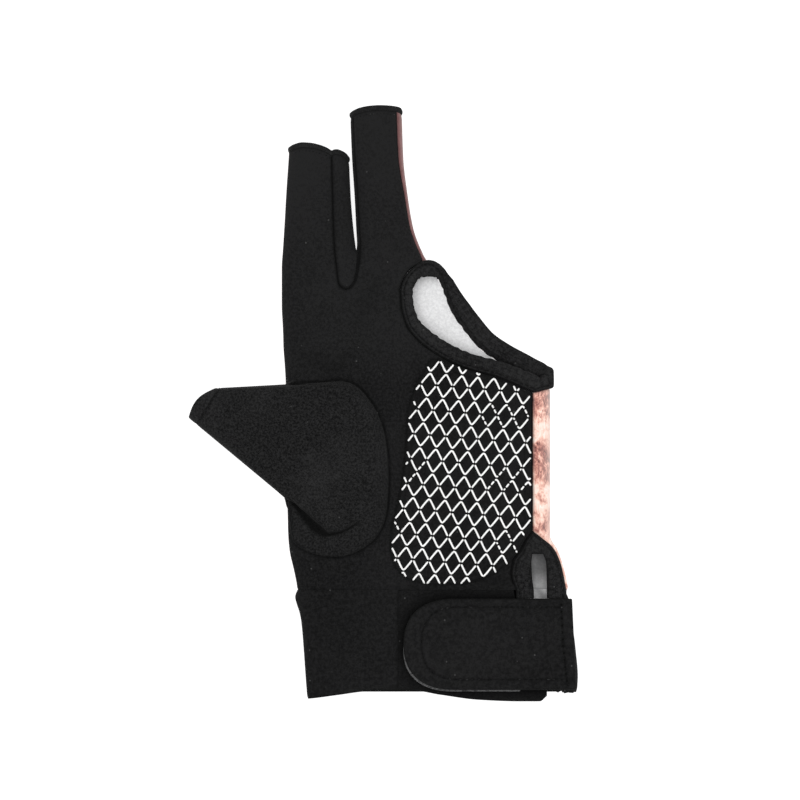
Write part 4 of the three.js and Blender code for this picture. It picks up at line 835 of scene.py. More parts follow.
def tip_band(name, row_at, length, node):
    """A ring of two rounded edges, a little wider at the end than the finger, with a rib every
    rib_pitch round it."""
    rib_pitch, rib_height, wider = 0.9, 0.07, 0.4
    flare = np.linspace(0, 1, 7)[:, None]
    row = row_at(1 - TIP_BAND / length * (1 - flare))
    row["left"], row["right"] = row["left"] - wider * flare, row["right"] + wider * flare
    ring = np.concatenate([
        stretch(row, top_of, row["left"], row["right"], 90),
        stretch(row, bottom_of, row["right"], row["left"], 90)[:, 1:],
    ], 1)
    surface = weld(ring)
    run = np.linalg.norm(np.diff(ring[-1], axis=0), axis=1).cumsum()
    points = surface[0]
    away = sum(np.abs(points[:, None, axis] - ring[-1, None, 1:, axis]) for axis in (0, 2))
    ribs = rib_height * np.sin(2 * np.pi * run[away.argmin(1)] / rib_pitch)
    relief, shade = sewn(surface, 0.25, 0.4)
    relief = np.where(points[:, 2] < 1, np.minimum(relief + ribs, 0), relief + ribs)
    piece(name, shell(surface, WALL, relief, 0.5 * shade), [overlock, overlock], node)


tip_band("index_edge", index_row, INDEX_LENGTH, "index_tip_band")
tip_band("middle_edge", middle_row, MIDDLE_LENGTH, "middle_tip_band")

# Grip pad: a thin foam pad faced with black cloth, sewn flat on the heel of the hand.
PAD_THICKNESS, PAD_EDGE, PAD_LIP, PAD_SEAM = 2, 1.6, 0.4, 2.2
BELOW_SPINE, ABOVE_SPINE, PAD_ROWS = 28, 34, 160
PAD = table("at left right", [
    (0.02, 0.53, 0.66), (0.037, 0.467, 0.74), (0.073, 0.423, 0.815), (0.12, 0.404, 0.864),
    (0.16, 0.401, 0.889), (0.2, 0.404, 0.915), (0.28, 0.426, 0.918), (0.393, 0.449, 0.918),
    (0.49, 0.46, 0.918), (0.59, 0.465, 0.918), (0.648, 0.483, 0.915), (0.663, 0.489, 0.895),
    (0.683, 0.496, 0.845), (0.707, 0.511, 0.78), (0.737, 0.529, 0.671), (0.758, 0.543, 0.612),
    (0.768, 0.552, 0.585),
])


def cushion(outline, spine, rings, upper, lower):
    """A flat closed form: rings run from the spine below, out to the outline and back to the
    spine above. Each outline point is led to its nearest point of the spine, and a ring is
    (distance from the outline as a share of that way, height from lower 0 to upper 1)."""
    reach = np.linalg.norm(outline[:, None] - spine[None], axis=2)
    centre = spine[reach.argmin(1)]
    grid = []
    for share, height in rings:
        flat = outline + (centre - outline) * share
        grid.append(np.column_stack([flat, lower(flat) + (upper(flat) - lower(flat)) * height]))
    return np.concatenate([grid, np.array(grid)[:, :1]], 1)


def closed_piece(name, surface, materials, node, sharp=55, shade=0.0):
    """A piece from a welded surface that already closes on itself, or a grid that does."""
    points, quads, flats, first = weld(surface) if isinstance(surface, np.ndarray) else surface
    marks = np.reshape(shade, -1)[first] if np.size(shade) > 1 else np.full(len(points), shade)
    return piece(name, (points, quads, flats, np.zeros(len(quads), int), marks), materials, node, sharp)


pad_at = np.linspace(PAD["at"][0], PAD["at"][-1], PAD_ROWS)
pad_left, pad_right = (
    np.column_stack([across(PAD, name, pad_at), pad_at * HAND_LENGTH]) for name in ("left", "right")
)
pad_outline, _ = evenly(np.concatenate([pad_right, pad_left[::-1], pad_right[:1]]), 0.8)
pad_outline = pad_outline[:-1]
pad_spine, _ = evenly(((pad_left + pad_right) / 2)[BELOW_SPINE:-ABOVE_SPINE], 0.8)


def pad_height(places):
    """The pad's face over the palm: full thickness, rounded over PAD_EDGE at the outline."""
    edge = nearness(places, pad_outline)
    rounding = PAD_LIP + (1 - PAD_LIP) * quarter(edge / PAD_EDGE)
    groove = 0.25 * bell(edge - PAD_SEAM, 0.5)
    return palm_height(places[:, 0], places[:, 1]) + SEAM_GAP + PAD_THICKNESS * rounding - groove


def pad_foot(places):
    return palm_height(places[:, 0], places[:, 1]) + SEAM_GAP * 0.2


pad_rings = [(share, 0) for share in (1, 0.5, 0.1, 0)]
pad_rings += [(share, 1) for share in (0, 0.004, 0.012, 0.025, 0.04, 0.055, 0.07, 0.085, 0.1, 0.12)]
pad_rings += [(share, 1) for share in np.linspace(0.14, 1, 34)]
pad_cloth = fabric("pad_cloth", (0.0022, 0.0022, 0.0023), (0.0105, 0.0105, 0.0107), wale=0.6, course=0.6,
                   knit_share=0.7, speckle=0.5, relief=0.15)
pad_grid = cushion(pad_outline, pad_spine, pad_rings, pad_height, pad_foot)
pad_edge = nearness(pad_grid.reshape(-1, 3)[:, :2], pad_outline)
pad_shade = 0.75 * bell(pad_edge, 0.5) + 0.35 * bell(pad_edge - PAD_SEAM, 0.35)
pad = closed_piece("grip_pad_foam", pad_grid, [pad_cloth], "grip_pad", shade=pad_shade)
# The points on the middle line that only one side's rings reach leave slits, which are closed.
filled = bmesh.new()
filled.from_mesh(pad.data)
bmesh.ops.holes_fill(filled, edges=[edge for edge in filled.edges if len(edge.link_faces) == 1])
filled.to_mesh(pad.data)
filled.free()

# Grip lines: white silicone, printed on the pad as a lattice of upright diamonds. Each row is a
# row of peaks over a row of valleys, which stop short of each other, and some lines are broken.
LINE_WIDTH, LINE_HEIGHT = 0.7, 0.22
CELL_ACROSS = np.array([5.74, -0.47])
CELL_UP = np.array([1.22, 8.95])
LATTICE_START = np.array([56.06, 73.82])
PEAK, PEAK_ROUND, NODE_GAP, WORN_GAP = 4.0, 0.16, 0.33, 0.32
silicone, tree = new_material("white_silicone")
place = placed(tree, "Object")
worn = put(tree, "ShaderNodeGroup", {"node_tree": wear}, Vector=place, Spread=0.2)
ripple = noise(tree, place, 3.0, 2.0)
finished(tree, mixed(tree, worn.outputs["Fade"], (0.86, 0.86, 0.85), (0.93, 0.93, 0.92)),
         between(tree, ripple, 0.0, 1.0, 0.35, 0.6), ripple, 0.3, 0.00005)


def stroke(line):
    """A low ridge along a line on the pad, as wide as LINE_WIDTH, with rounded ends."""
    path, along = evenly(line, 0.42)
    near, far = path[:1] + along[:1] * 0.12, path[-1:] - along[-1:] * 0.12
    path = np.concatenate([path[:1], near, path[1:-1], far, path[-1:]])
    along = np.concatenate([along[:1], along, along[-1:]])
    aside = np.stack([-along[:, 1], along[:, 0]], -1)
    run = distance_along(path)
    half = LINE_WIDTH / 2 * quarter(np.minimum(run, run[-1] - run) / 0.36)
    shares, heights = np.array([-1, -0.7, 0, 0.7, 1]), np.array([-0.1, 0.75, 1, 0.75, -0.1])
    flat = path[:, None] + aside[:, None] * (half[:, None] * shares)[..., None]
    level = pad_height(flat.reshape(-1, 2)).reshape(flat.shape[:2])
    grid = np.concatenate([flat, (level + LINE_HEIGHT * heights)[..., None]], -1)
    foot = grid[:, [4, 0]].copy()
    foot[..., 2] = level[:, [4, 0]] - 0.15
    grid = np.concatenate([grid, foot, grid[:, :1]], 1)[:, ::-1]
    grid[[0, -1]] = grid[[0, -1]].mean(1, keepdims=True)
    return grid


def on_pad(places, margin=0.55):
    """Which places lie on the pad, and at least a margin inside its edges."""
    at = places[:, 1] / HAND_LENGTH
    left, right = (across(PAD, name, at)[:, 0] for name in ("left", "right"))
    inner = (places[:, 0] > left + margin) & (places[:, 0] < right)
    return inner & (at > PAD["at"][0] + 0.001) & (at < PAD["at"][-1])


lattice = []
up_unit = CELL_UP / np.linalg.norm(CELL_UP)
share = np.linspace(-1, 1, 97)
rise = PEAK * (1 - np.sqrt(share**2 + PEAK_ROUND**2)) / (1 - PEAK_ROUND)
run = (1 - np.abs(share)) * math.hypot(PEAK, CELL_ACROSS[0] / 2)
for up in range(-8, 3):
    for right in range(-3, 9):
        node = LATTICE_START + up * CELL_UP + right * CELL_ACROSS
        for side in (1, -1):
            line = node + CELL_ACROSS / 2 + np.outer(share / 2, CELL_ACROSS) + np.outer(side * rise, up_unit)
            kept = on_pad(line) & (run > NODE_GAP)
            wear_here = (up * 7 + right * 5 + side * 3) % 5
            at_rim = node[0] > 72 or not on_pad(node[None] + CELL_ACROSS / 2, 6)[0]
            if at_rim and wear_here < 2:
                worn_leg = share > 0.1 if wear_here else share < -0.1
                kept &= ~(worn_leg & (np.mod(run + 0.5 * right, 1.9) < WORN_GAP))
            edges = np.flatnonzero(np.diff(np.concatenate([[0], kept.astype(int), [0]])))
            for first, last in zip(edges[::2], edges[1::2]):
                if last - first > 8:
                    lattice.append(stroke(line[first:last]))
closed_piece("grip_lines", weld(*lattice), [silicone], None, sharp=80)

# Opening binding: a black elastic knit tape folded over the edge of the hole for the ring and
# little finger, and sewn down with a zigzag of black thread.
BINDING_THICKNESS, BINDING_PROUD, UPRIGHT = 2.2, 0.5, 0.35
OPENING_BINDING = table("at width", [
    (0, 6.2), (0.1, 5.8), (0.25, 5.6), (0.38, 4.5), (0.46, 4.6), (0.5, 4.6), (0.56, 4.3), (0.66, 7.2),
    (0.8, 7.4), (0.93, 7), (1, 6.2),
])
elastic_knit = fabric("elastic_knit", (0.0015, 0.0015, 0.0016), (0.02, 0.02, 0.0203), wale=0.9, course=0.8,
                      knit_share=0.55, fineness=1.0, nap_share=0.6, speckle=0.9, relief=0.25, source="UV",
                      rough=(0.8, 0.95))


def facing(row, points):
    """Which way points on the right side of a row face: up on top, out at the fold, down below."""
    lift = points[:, 2] - SIDE_LEVEL
    rise = np.where(lift < 0, SIDE_LEVEL, row["level"][:, 0] - SIDE_LEVEL)
    slope = np.clip(lift / rise, -1, 1)
    return np.stack([np.sqrt(1 - slope**2), 0 * slope, slope], -1)


def on_seam(row, surface, x):
    points = lay(row, surface, x)[:, 0]
    return points, facing(row, points)


def averaged(values, reach):
    """Values round a loop, averaged over a bell of that many."""
    weights = bell(np.arange(-3 * reach, 3 * reach + 1), reach)
    padded = np.pad(values, ((3 * reach, 3 * reach), (0, 0)), mode="wrap")
    return sum(w * padded[i : i + len(values)] for i, w in enumerate(weights)) / weights.sum()


def seam_points(seam, *others):
    """A seam's points, spaced evenly, with whatever goes along with them."""
    run = distance_along(seam)
    both = read_off(np.concatenate([seam, *others], 1), run, np.linspace(0, run[-1], int(run[-1] / 0.4) + 1))
    return np.split(both, range(3, both.shape[1], 3), 1)


def free_edge(seam, normals, widths):
    """The free edge of a looped tape, which lies on the side of its seam away from the cloth."""
    way = np.gradient(seam, axis=0)
    way[0] = way[-1] = seam[1] - seam[-2]
    flat = np.abs(normals[:, 2:]) > UPRIGHT
    faces = np.where(flat, np.sign(normals[:, 2:]) * [0, 0, 1], [1, 0, 0])
    aside = unit(averaged(unit(np.cross(way, faces) * [1, 1, 0]), 7))
    width = follow(widths, "width")(np.linspace(0, 1, len(seam)))
    return seam + aside * width[:, None]


def tape(seam, free, level=None, high=1):
    """A folded tape from its seam to its free edge. Its section has round edges; it is flush with
    the cloth at the seam, proud of it beyond, and has a row of stitches TOPSTITCH from the seam."""
    way = (free - seam) * [1, 1, 0]
    width = np.linalg.norm(way, axis=1)[:, None]
    share = np.concatenate([np.linspace(0, 0.5, 12), np.linspace(0.5, 1, 8)[1:]])
    share = share - 0.06 * np.sin(2 * np.pi * share)
    place = width * share
    full = quarter(place / 1.1) * quarter((width - place) / 1.1)
    half = BINDING_THICKNESS / 2
    stitched_at = TOPSTITCH + (width - 2 * TOPSTITCH) * (1 - high)
    stitched = bell(place - stitched_at, 0.35)
    upper = -half + (half + BINDING_PROUD) * full - 0.22 * stitched
    lower = -half - half * full
    lifts = np.concatenate([upper, lower[:, -2:0:-1]], 1)
    shares = np.concatenate([share, share[-2:0:-1]])
    shade = bell(place, 0.6) + 0.7 * stitched + 0.5 * bell(width - place, 0.5)
    shade = np.concatenate([np.minimum(shade, 1), 0 * lower[:, -2:0:-1]], 1)
    rings = seam[:, None] + way[:, None] * shares[:, None]
    line = seam + way / width * stitched_at
    if level is not None:
        rings[..., 2], line[:, 2] = level(rings), level(line)
    rings[..., 2] += lifts
    line[:, 2] += BINDING_PROUD
    rings, shade = (np.concatenate([a, a[:, :1]], 1) for a in (rings, shade))
    return rings, shade, line


TOPSTITCH = 1.4
edge_at = np.linspace(CORNER_PALM, 1, 90)
turn_at = np.linspace(0, STRIP_START, 24)
side_at = np.linspace(CORNER_SIDE, 1, 80)
turn_row, corner_row = middle_row([STRIP_START]), hand_row([CORNER_SIDE])
fold_point = np.array([[turn_row["right"][0, 0], turn_row["y"][0, 0], SIDE_LEVEL]])
corner_points = wrap_rows([CORNER_SIDE])[0][1:-1]
parts = [
    on_seam(hand_row(edge_at), top_of, across(PALM_EDGE, "x", edge_at)),
    on_seam(middle_row(turn_at[1:]), top_of, across(MIDDLE, "seam", turn_at[1:])),
    (fold_point, np.array([[1.0, 0, 0]])),
    on_seam(middle_row(turn_at[:0:-1]), bottom_of, across(MIDDLE, "backEdge", turn_at[:0:-1])),
    on_seam(hand_row(side_at[::-1]), bottom_of, across(BACK_EDGE, "x", side_at[::-1])),
    (corner_points, facing(corner_row, corner_points)),
]
opening_seam, opening_normals = (np.concatenate([part[i] for part in parts + parts[:1]]) for i in (0, 1))
loop_end = len(opening_seam) - len(edge_at) + 1
seam, faces = seam_points(opening_seam[:loop_end], opening_normals[:loop_end])
free = free_edge(seam, unit(averaged(faces, 4)), OPENING_BINDING)
# Seen from above, the tape is a band between an outer and an inner line. Round the finger's foot
# and at the palm's corner it turns over: each row below has its outer and inner point, and how
# high it lies between the back (0) and the palm (1).
FOOT = table("outerX outerY innerX innerY high", [
    (45.9, 114.8, 49.4, 111.9, 1), (48.4, 117.2, 50.3, 112.7, 1), (50.9, 118.6, 51.8, 112.9, 1),
    (53.2, 119.1, 53.5, 112.95, 0.95), (55.2, 118.75, 54.8, 112.95, 0.85), (57.3, 117.6, 55.8, 112.8, 0.65),
    (59.1, 115.8, 56.6, 112.2, 0.4), (60.4, 113.9, 57.2, 111.2, 0.15), (62, 112.2, 57.9, 109.7, 0),
])
CORNER = table("outerX outerY innerX innerY high", [
    (96.2, 80.9, 92.9, 76.1, 0.05), (97.8, 80.2, 93, 76.2, 0.3), (98.4, 79.3, 93.1, 76.3, 0.5),
    (98.45, 76.5, 93.2, 76.4, 0.7), (98.4, 73.3, 93.3, 76.4, 0.85), (97.7, 72.7, 93.4, 76.4, 0.95),
    (94.2, 71.9, 93.6, 76.4, 1), (90.9, 71.1, 93.9, 76.2, 1),
])
BACK_TAPE_LEVEL = 2.2


def turned_rows(rows, palm_level):
    """Outer and inner points of a turn, and how high each lies."""
    z = BACK_TAPE_LEVEL + (palm_level - BACK_TAPE_LEVEL) * rows["high"]
    outer = np.stack([rows["outerX"], rows["outerY"], z], -1)
    return outer, np.stack([rows["innerX"], rows["innerY"], z], -1), rows["high"]


on_palm_side = (faces[:, 2] > 0.9) & (seam[:, 1] < FOOT["outerY"][0] - 1)
on_palm_side &= seam[:, 0] < CORNER["outerX"][-1] - 1
on_back_side = (faces[:, 2] < -0.9) & (seam[:, 0] > FOOT["innerX"][-1] + 0.7)
on_back_side &= free[:, 0] < CORNER["outerX"][0] - 1
back_seam, back_free = seam[on_back_side], free[on_back_side]
back_seam[:, 2] = back_free[:, 2] = BACK_TAPE_LEVEL
palm_seam, palm_free = seam[on_palm_side], free[on_palm_side]
foot, corner = turned_rows(FOOT, palm_seam[-1, 2]), turned_rows(CORNER, palm_seam[0, 2])
outer = np.concatenate([palm_seam, foot[0], back_free, corner[0], palm_seam[:1]])
inner = np.concatenate([palm_free, foot[1], back_seam, corner[1], palm_free[:1]])
high = [np.ones(len(palm_seam)), foot[2], np.zeros(len(back_seam)), corner[2], [1]]
high = np.repeat(np.concatenate(high)[:, None], 3, 1)
outer, inner, high = seam_points(outer, inner, high)


def evened(values, reach):
    """The average round a loop whose last value is its first."""
    total = averaged(values[:-1], reach)
    return np.concatenate([total, total[:1]])


outer, inner, high = evened(outer, 1), evened(inner, 2), evened(high, 4)[:, :1]
# The hole's edge isn't quite even: it has small waves, which grow and fade round it.
WAVE, WAVES, SWELLS = 0.18, 41, 7
round_hole = np.linspace(0, 2 * np.pi, len(inner))[:, None]
inner[:, :2] += unit((outer - inner)[:, :2]) * WAVE * np.sin(WAVES * round_hole) * np.sin(SWELLS * round_hole)
rings, shade, opening_line = tape(outer, inner, high=high)
rings[-1], shade[-1] = rings[0], shade[0]
opening_tape = closed_piece("opening_tape", rings, [elastic_knit], "finger_opening_binding",
                            shade=shade)

# Wrist slit binding: the same tape in an upturned U round the slit in the little-finger side of
# the wrist. Its two ends run under the strap.
SLIT_TAIL = 3
SLIT_HOLE = table("at left right", [
    (0, 0.93, 0.978), (0.05, 0.923, 0.977), (0.09, 0.921, 0.975), (0.12, 0.924, 0.964),
])
HOLE_TOP, HOLE_TURN = 0.12, 6 / 7


def slit_leg(edge, side):
    """One leg of the slit from under the strap to its top: the seam, and the hole's edge. The
    last part of it goes along the hole's straight top to the middle."""
    at = np.concatenate([[0], np.linspace(0, SLIT_TOP, 70)])
    row = hand_row(at)
    row["y"][0] = -SLIT_TAIL
    seam = lay(row, top_of, across(edge, "x", at))[:, 0]
    height = HOLE_TOP * np.minimum(1, at / SLIT_TOP / HOLE_TURN)
    x = follow(SLIT_HOLE, side)(height)
    middle = (SLIT_HOLE["left"][-1] + SLIT_HOLE["right"][-1]) / 2
    x = x + (middle - x) * np.clip((at / SLIT_TOP - HOLE_TURN) / (1 - HOLE_TURN), 0, 1)
    y = np.where(np.arange(len(at)) == 0, -SLIT_TAIL, height * HAND_LENGTH)
    return seam, np.stack([x * PALM_WIDTH, y, 0 * x], -1)


def slit_level(rings):
    """The palm's level under the tape, held at the wrist's beyond its end."""
    flat = rings.reshape(-1, 3)
    return palm_height(flat[:, 0], np.maximum(flat[:, 1], 0)).reshape(rings.shape[:-1])


(up_seam, up_free), (down_seam, down_free) = slit_leg(PALM_EDGE, "left"), slit_leg(WRAP_EDGE, "right")
legs = (np.concatenate([up, down[-2::-1]]) for up, down in ((up_seam, down_seam), (up_free, down_free)))
slit_seam, slit_free = seam_points(*legs)
rings, shade, slit_line = tape(slit_seam, slit_free, slit_level)
ends = rings.mean(1, keepdims=True)
rings = np.concatenate([0 * rings[:1] + ends[:1], rings, 0 * rings[:1] + ends[-1:]])
shade = np.concatenate([shade[:1], shade, shade[-1:]])
slit_tape = closed_piece("slit_tape", rings, [elastic_knit], "wrist_slit_binding", shade=shade)

# Cuff: a band of foam-backed jersey, from the end of its front on the palm, round the thumb side,
# along the back and a short way over the little-finger side. It bunches a little at its seam.
CUFF_WALL, CUFF_FRONT_LEVEL, HOOK_THICKNESS, STRAP_THICKNESS = 1.5, 8.3, 1.2, 1.6
RETURN_LEVEL = CUFF_FRONT_LEVEL + SEAM_GAP + HOOK_THICKNESS
CUFF = table("at left right", [
    (0, 0.059, 1.059), (0.065, 0.051, 1.064), (0.131, 0.057, 1.068), (0.206, 0.067, 1.072),
    (0.3, 0.074, 1.075), (0.495, 0.081, 1.083), (0.841, 0.091, 1.093), (1, 0.096, 1.09),
])
FRONT_HEM = table("at reach", [(0.09, 1.025), (0.217, 0.98), (0.305, 0.95), (0.4, 0.936), (0.43, 0.934)])
BACK_REACH, FRONT_END, RETURN_END = 0.96, 0.43, 1.033
foam_cloth = fabric("foam_backed_jersey", (0.0038, 0.0038, 0.0039), (0.0128, 0.0128, 0.013), knit_share=0.35,
                    fineness=0.9, speckle=0.4, relief=0.1, rough=(0.85, 0.97))
cuff_at = np.linspace(0, 1, 60)
cuff_left, cuff_right = (across(CUFF, name, cuff_at) for name in ("left", "right"))
cuff_row = {"y": 0 * cuff_left, "left": cuff_left, "right": cuff_right, "bend": 0 * cuff_left,
            "tip": np.zeros_like}
cuff_middle = CUFF_FRONT_LEVEL / 2


def cuff_front(row, x):
    return cuff_middle + (CUFF_FRONT_LEVEL - cuff_middle) * quarter((x - row["left"]) / TOP_ROLL)


def cuff_back(row, x):
    rolls = quarter((x - row["left"]) / FLOOR_ROLL) * quarter((row["right"] - x) / FLOOR_ROLL)
    return cuff_middle * (1 - rolls)


def cuff_return(row, x):
    return cuff_middle + (RETURN_LEVEL - cuff_middle) * quarter((row["right"] - x) / FLOOR_ROLL)


cuff_grid = np.concatenate([
    stretch(cuff_row, cuff_front, FRONT_END * PALM_WIDTH + 0 * cuff_left, cuff_left, 60),
    stretch(cuff_row, cuff_back, cuff_left, cuff_right, 100)[:, 1:],
    stretch(cuff_row, cuff_return, cuff_right, RETURN_END * PALM_WIDTH + 0 * cuff_left, 16)[:, 1:],
], 1)
lift = smooth(cuff_grid[..., 2] / SIDE_LEVEL)
on_right = cuff_grid[..., 0] > PALM_WIDTH / 2
hem = np.where(on_right, BACK_REACH, follow(FRONT_HEM, "reach")(cuff_grid[..., 0] / PALM_WIDTH))
reach = BACK_REACH + (hem - BACK_REACH) * lift
begin = np.where(on_right, lift * (SLIT_TAIL + SEAM_GAP), 0)
frayed = 0.35 * np.sin(cuff_grid[..., 0] * 4.1) * np.sin(cuff_grid[..., 0] * 1.7 + 1)
frayed = np.where(on_right & (cuff_grid[..., 0] > 99), frayed, 0)
cuff_grid[..., 1] = -begin - cuff_at[:, None] * (reach * CUFF_HEIGHT - begin + frayed)
cuff_surface = weld(cuff_grid)
points = cuff_surface[0]
on_front = smooth((points[:, 2] - cuff_middle) / 2) * (points[:, 0] < PALM_WIDTH / 2)
bunch = creases(points, [
    (6, -2.2, 30, -3.2, 1.1, 0.5), (14, -4.8, 46, -3.6, 1.2, -0.45), (7, -6.5, 24, -7.5, 1.6, 0.4),
    (20, -1.5, 50, -2.2, 1.0, 0.35), (8, -12, 15, -30, 4, 0.25), (30, -10, 34, -34, 6, -0.2),
])
cuff_relief, cuff_shade = sewn(cuff_surface, 0.3, 0.6, faint=[cuff_grid[0]])
cuff_relief = cuff_relief + bunch * on_front


# Hook patch and strap have the same outline, a tab whose left end is round.
def tab_outline(left, right, low_right, top, hem, bow):
    """A tab whose left end is round: half an ellipse, then two straight edges."""
    x0, x1, x2 = (share * PALM_WIDTH for share in (left, right, low_right))
    y0, y1 = -hem * CUFF_HEIGHT, -top * CUFF_HEIGHT
    bow = bow * PALM_WIDTH
    middle = (y0 + y1) / 2
    t = np.linspace(0, 1, 40)[:, None]

    def arc(a, b, c, d):
        return (1 - t) ** 3 * a + 3 * (1 - t) ** 2 * t * b + 3 * (1 - t) * t**2 * c + t**3 * d

    upper = arc(*np.array([(x0 + bow, y1), (x0 + bow * 0.3, y1), (x0, y1 - bow * 0.35), (x0, middle)]))
    lower = arc(*np.array([(x0, middle), (x0, y0 + bow * 0.35), (x0 + bow * 0.3, y0), (x0 + bow, y0)]))
    corners = [[x2, y0], [x1, y1], [x0 + bow, y1]]
    outline, _ = evenly(np.concatenate([upper, lower[1:], corners]), 0.7)
    half = (y1 - y0) / 2
    spine, _ = evenly(np.array([[x0 + half, middle], [x2 - half * 0.9, middle]]), 0.7)
    return outline[:-1], spine


strap_outline, strap_spine = tab_outline(0.45, 1.07, 1.085, 0.078, 0.932, 0.19)


def under_strap(points, depth, reach=2.6):
    """The soft shadow beside the strap on what lies under it."""
    return depth * bell(nearness(points[:, :2], strap_outline), reach)


at_seam = nearness(points, cuff_grid[0]) < 2
at_loop = (points[:, 0] > 0.35 * PALM_WIDTH) & (points[:, 0] < FRONT_END * PALM_WIDTH + 1)
cuff_shade = np.where(at_seam, 0.12, np.where(at_loop & (points[:, 2] > 3), 0.35, 0.8)) * cuff_shade
beside_strap = (points[:, 2] > cuff_middle) * (points[:, 0] < 60)
cuff_shade = np.maximum(cuff_shade, under_strap(points, 0.4) * beside_strap)
cuff_cloth = piece("cuff", shell(cuff_surface, CUFF_WALL, cuff_relief, cuff_shade),
                   [foam_cloth, foam_cloth], "wrist_cuff")

# Loop panel: a brushed panel beside the cuff's front, for the strap's hooks to hold on.
LOOP_HEM = table("x reach", [
    (0.43, 0.936), (0.478, 0.937), (0.585, 0.98), (0.73, 1.028), (0.88, 1.042), (0.952, 1.042), (0.978, 0.99),
])
loop_cloth = fabric("loop_pile", (0.0022, 0.0022, 0.0023), (0.0105, 0.0105, 0.0107), knit_share=0.15,
                    fineness=1.6, nap_share=1.0, speckle=1.0, relief=0.3, rough=(0.9, 1.0), sheen=0.03)
loop_x = np.linspace(FRONT_END * PALM_WIDTH + SEAM_GAP * 0.1, LOOP_HEM["x"][-1] * PALM_WIDTH, 90)
slit_left = PALM_EDGE["x"][0] * PALM_WIDTH - SEAM_GAP
loop_top = -SEAM_GAP * 0.1 - (SLIT_TAIL + SEAM_GAP / 2) * smooth((loop_x - slit_left + 0.4) / 0.4)
loop_low = -follow(LOOP_HEM, "reach", "x")(loop_x / PALM_WIDTH) * CUFF_HEIGHT
loop_share = (1 - np.cos(np.linspace(0, np.pi, 50)))[:, None] / 2
loop_y = loop_low + (loop_top - loop_low) * loop_share
loop_surface = weld(np.stack(np.broadcast_arrays(loop_x, loop_y, CUFF_FRONT_LEVEL), -1))
loop_relief, loop_shade = sewn(loop_surface, 0.15, 0.6)
loop_shade = np.maximum(0.3 * loop_shade, under_strap(loop_surface[0], 0.8, 3.2))
loop_piece = piece("loop_strip", shell(loop_surface, CUFF_WALL, loop_relief, loop_shade),
                   [loop_cloth, loop_cloth], "loop_panel")

# Hook patch: stiff black hook tape on the strap's underside. Its rim shows along the strap's
# lower left edge, and the strap is sewn to it.
hook_tape = fabric("hook_tape", (0.001, 0.001, 0.0011), (0.09, 0.09, 0.091), wale=1.1, course=1.0,
                   knit_share=0.1, fineness=0.9, speckle=0.9, grain=1.3, relief=0.5, rough=(0.6, 0.8),
                   gloss=0.15)
hook_outline, hook_spine = tab_outline(0.449, 0.88, 0.88, 0.18, 0.948, 0.184)
hook_low, hook_high = CUFF_FRONT_LEVEL + SEAM_GAP * 0.3, RETURN_LEVEL
slab_rings = [(1, 0), (0.05, 0), (0.008, 0.03), (0, 0.2), (0, 0.8), (0.008, 0.97), (0.05, 1), (1, 1)]


def level(value):
    return lambda places: np.full(len(places), value)


hook_grid = cushion(hook_outline, hook_spine, slab_rings, level(hook_high), level(hook_low))
hook_piece = closed_piece("hook_strip", hook_grid, [hook_tape], "hook_patch")

# Strap: two layers of jersey over foam, turned in at the edge and sewn round with black thread.
# It is sewn to the cuff at its right end and closes over the loop panel with its round end.
STRAP_LOW = RETURN_LEVEL + SEAM_GAP * 0.3
STRAP_HIGH = RETURN_LEVEL + SEAM_GAP + STRAP_THICKNESS
STITCH_GROOVE = 0.3
stitch_outline, _ = tab_outline(0.5166, 1.055, 1.055, 0.156, 0.834, 0.133)
turn = np.argmax(stitch_outline[:, 0] + stitch_outline[:, 1] * 0.01)
stitch_outline = np.roll(stitch_outline, -turn, axis=0)
stitch_outline = stitch_outline[stitch_outline[:, 0] < 101.5]
end_line = np.array([[100.9, -3.9], [101.6, -20], [103.1, -34.2]])
grooves = np.concatenate([evenly(stitch_outline, 0.2)[0], evenly(end_line, 0.2)[0]])


def strap_face(places):
    """The strap's face: rounded at the edge, sunk along its stitching and softly full inside."""
    edge = nearness(places, strap_outline)
    groove = STITCH_GROOVE * bell(nearness(places, grooves), 0.7)
    rim = 0.9 * (1 - quarter(edge / 1.2))
    full = 0.12 * np.sin(places[:, 0] / 9 + 0.7) * np.sin(places[:, 1] / 7)
    return STRAP_HIGH - rim - groove + full * smooth(edge / 4) - 0.1


strap_rings = [(1, 0), (0.05, 0), (0.01, 0.05), (0, 0.3), (0, 1)]
strap_rings += [(share, 1) for share in (0.01, 0.025, 0.045, 0.07)]
strap_rings += [(share, 1) for share in np.linspace(0.1, 1, 50)]
strap_grid = cushion(strap_outline, strap_spine, strap_rings, strap_face, level(STRAP_LOW))
places = strap_grid.reshape(-1, 3)
strap_shade = 0.5 * bell(nearness(places[:, :2], grooves), 0.45)
strap_shade += 0.6 * bell(nearness(places[:, :2], strap_outline), 0.4)
strap_cloth = closed_piece("strap", strap_grid, [foam_cloth], "closure_strap",
                           shade=strap_shade)

# Stitching: black polyester thread. Each stitch is a short plump thread that dips at both ends
# into the cloth.
thread, tree = new_material("black_thread")
place = placed(tree, "Object")
twist = put(tree, "ShaderNodeTexWave", {"bands_direction": "DIAGONAL"}, Vector=place, Scale=2.2, Distortion=1.5,
            Detail=1.0).outputs[1]
bright = between(tree, noise(tree, place, 0.55, 3.0, 0.8), 0.52, 0.68)
lit = maths(tree, "MULTIPLY", maths(tree, "ADD", maths(tree, "MULTIPLY", twist, 0.4), 0.6), bright, clamp=True)
finished(tree, mixed(tree, lit, (0.0025, 0.0025, 0.0026), (0.05, 0.05, 0.051)),
         between(tree, twist, 0.0, 1.0, 0.7, 0.45), twist, 0.5, 0.0001, Specular_IOR_Level=0.08)
upward = np.array([0.0, 0, 1])


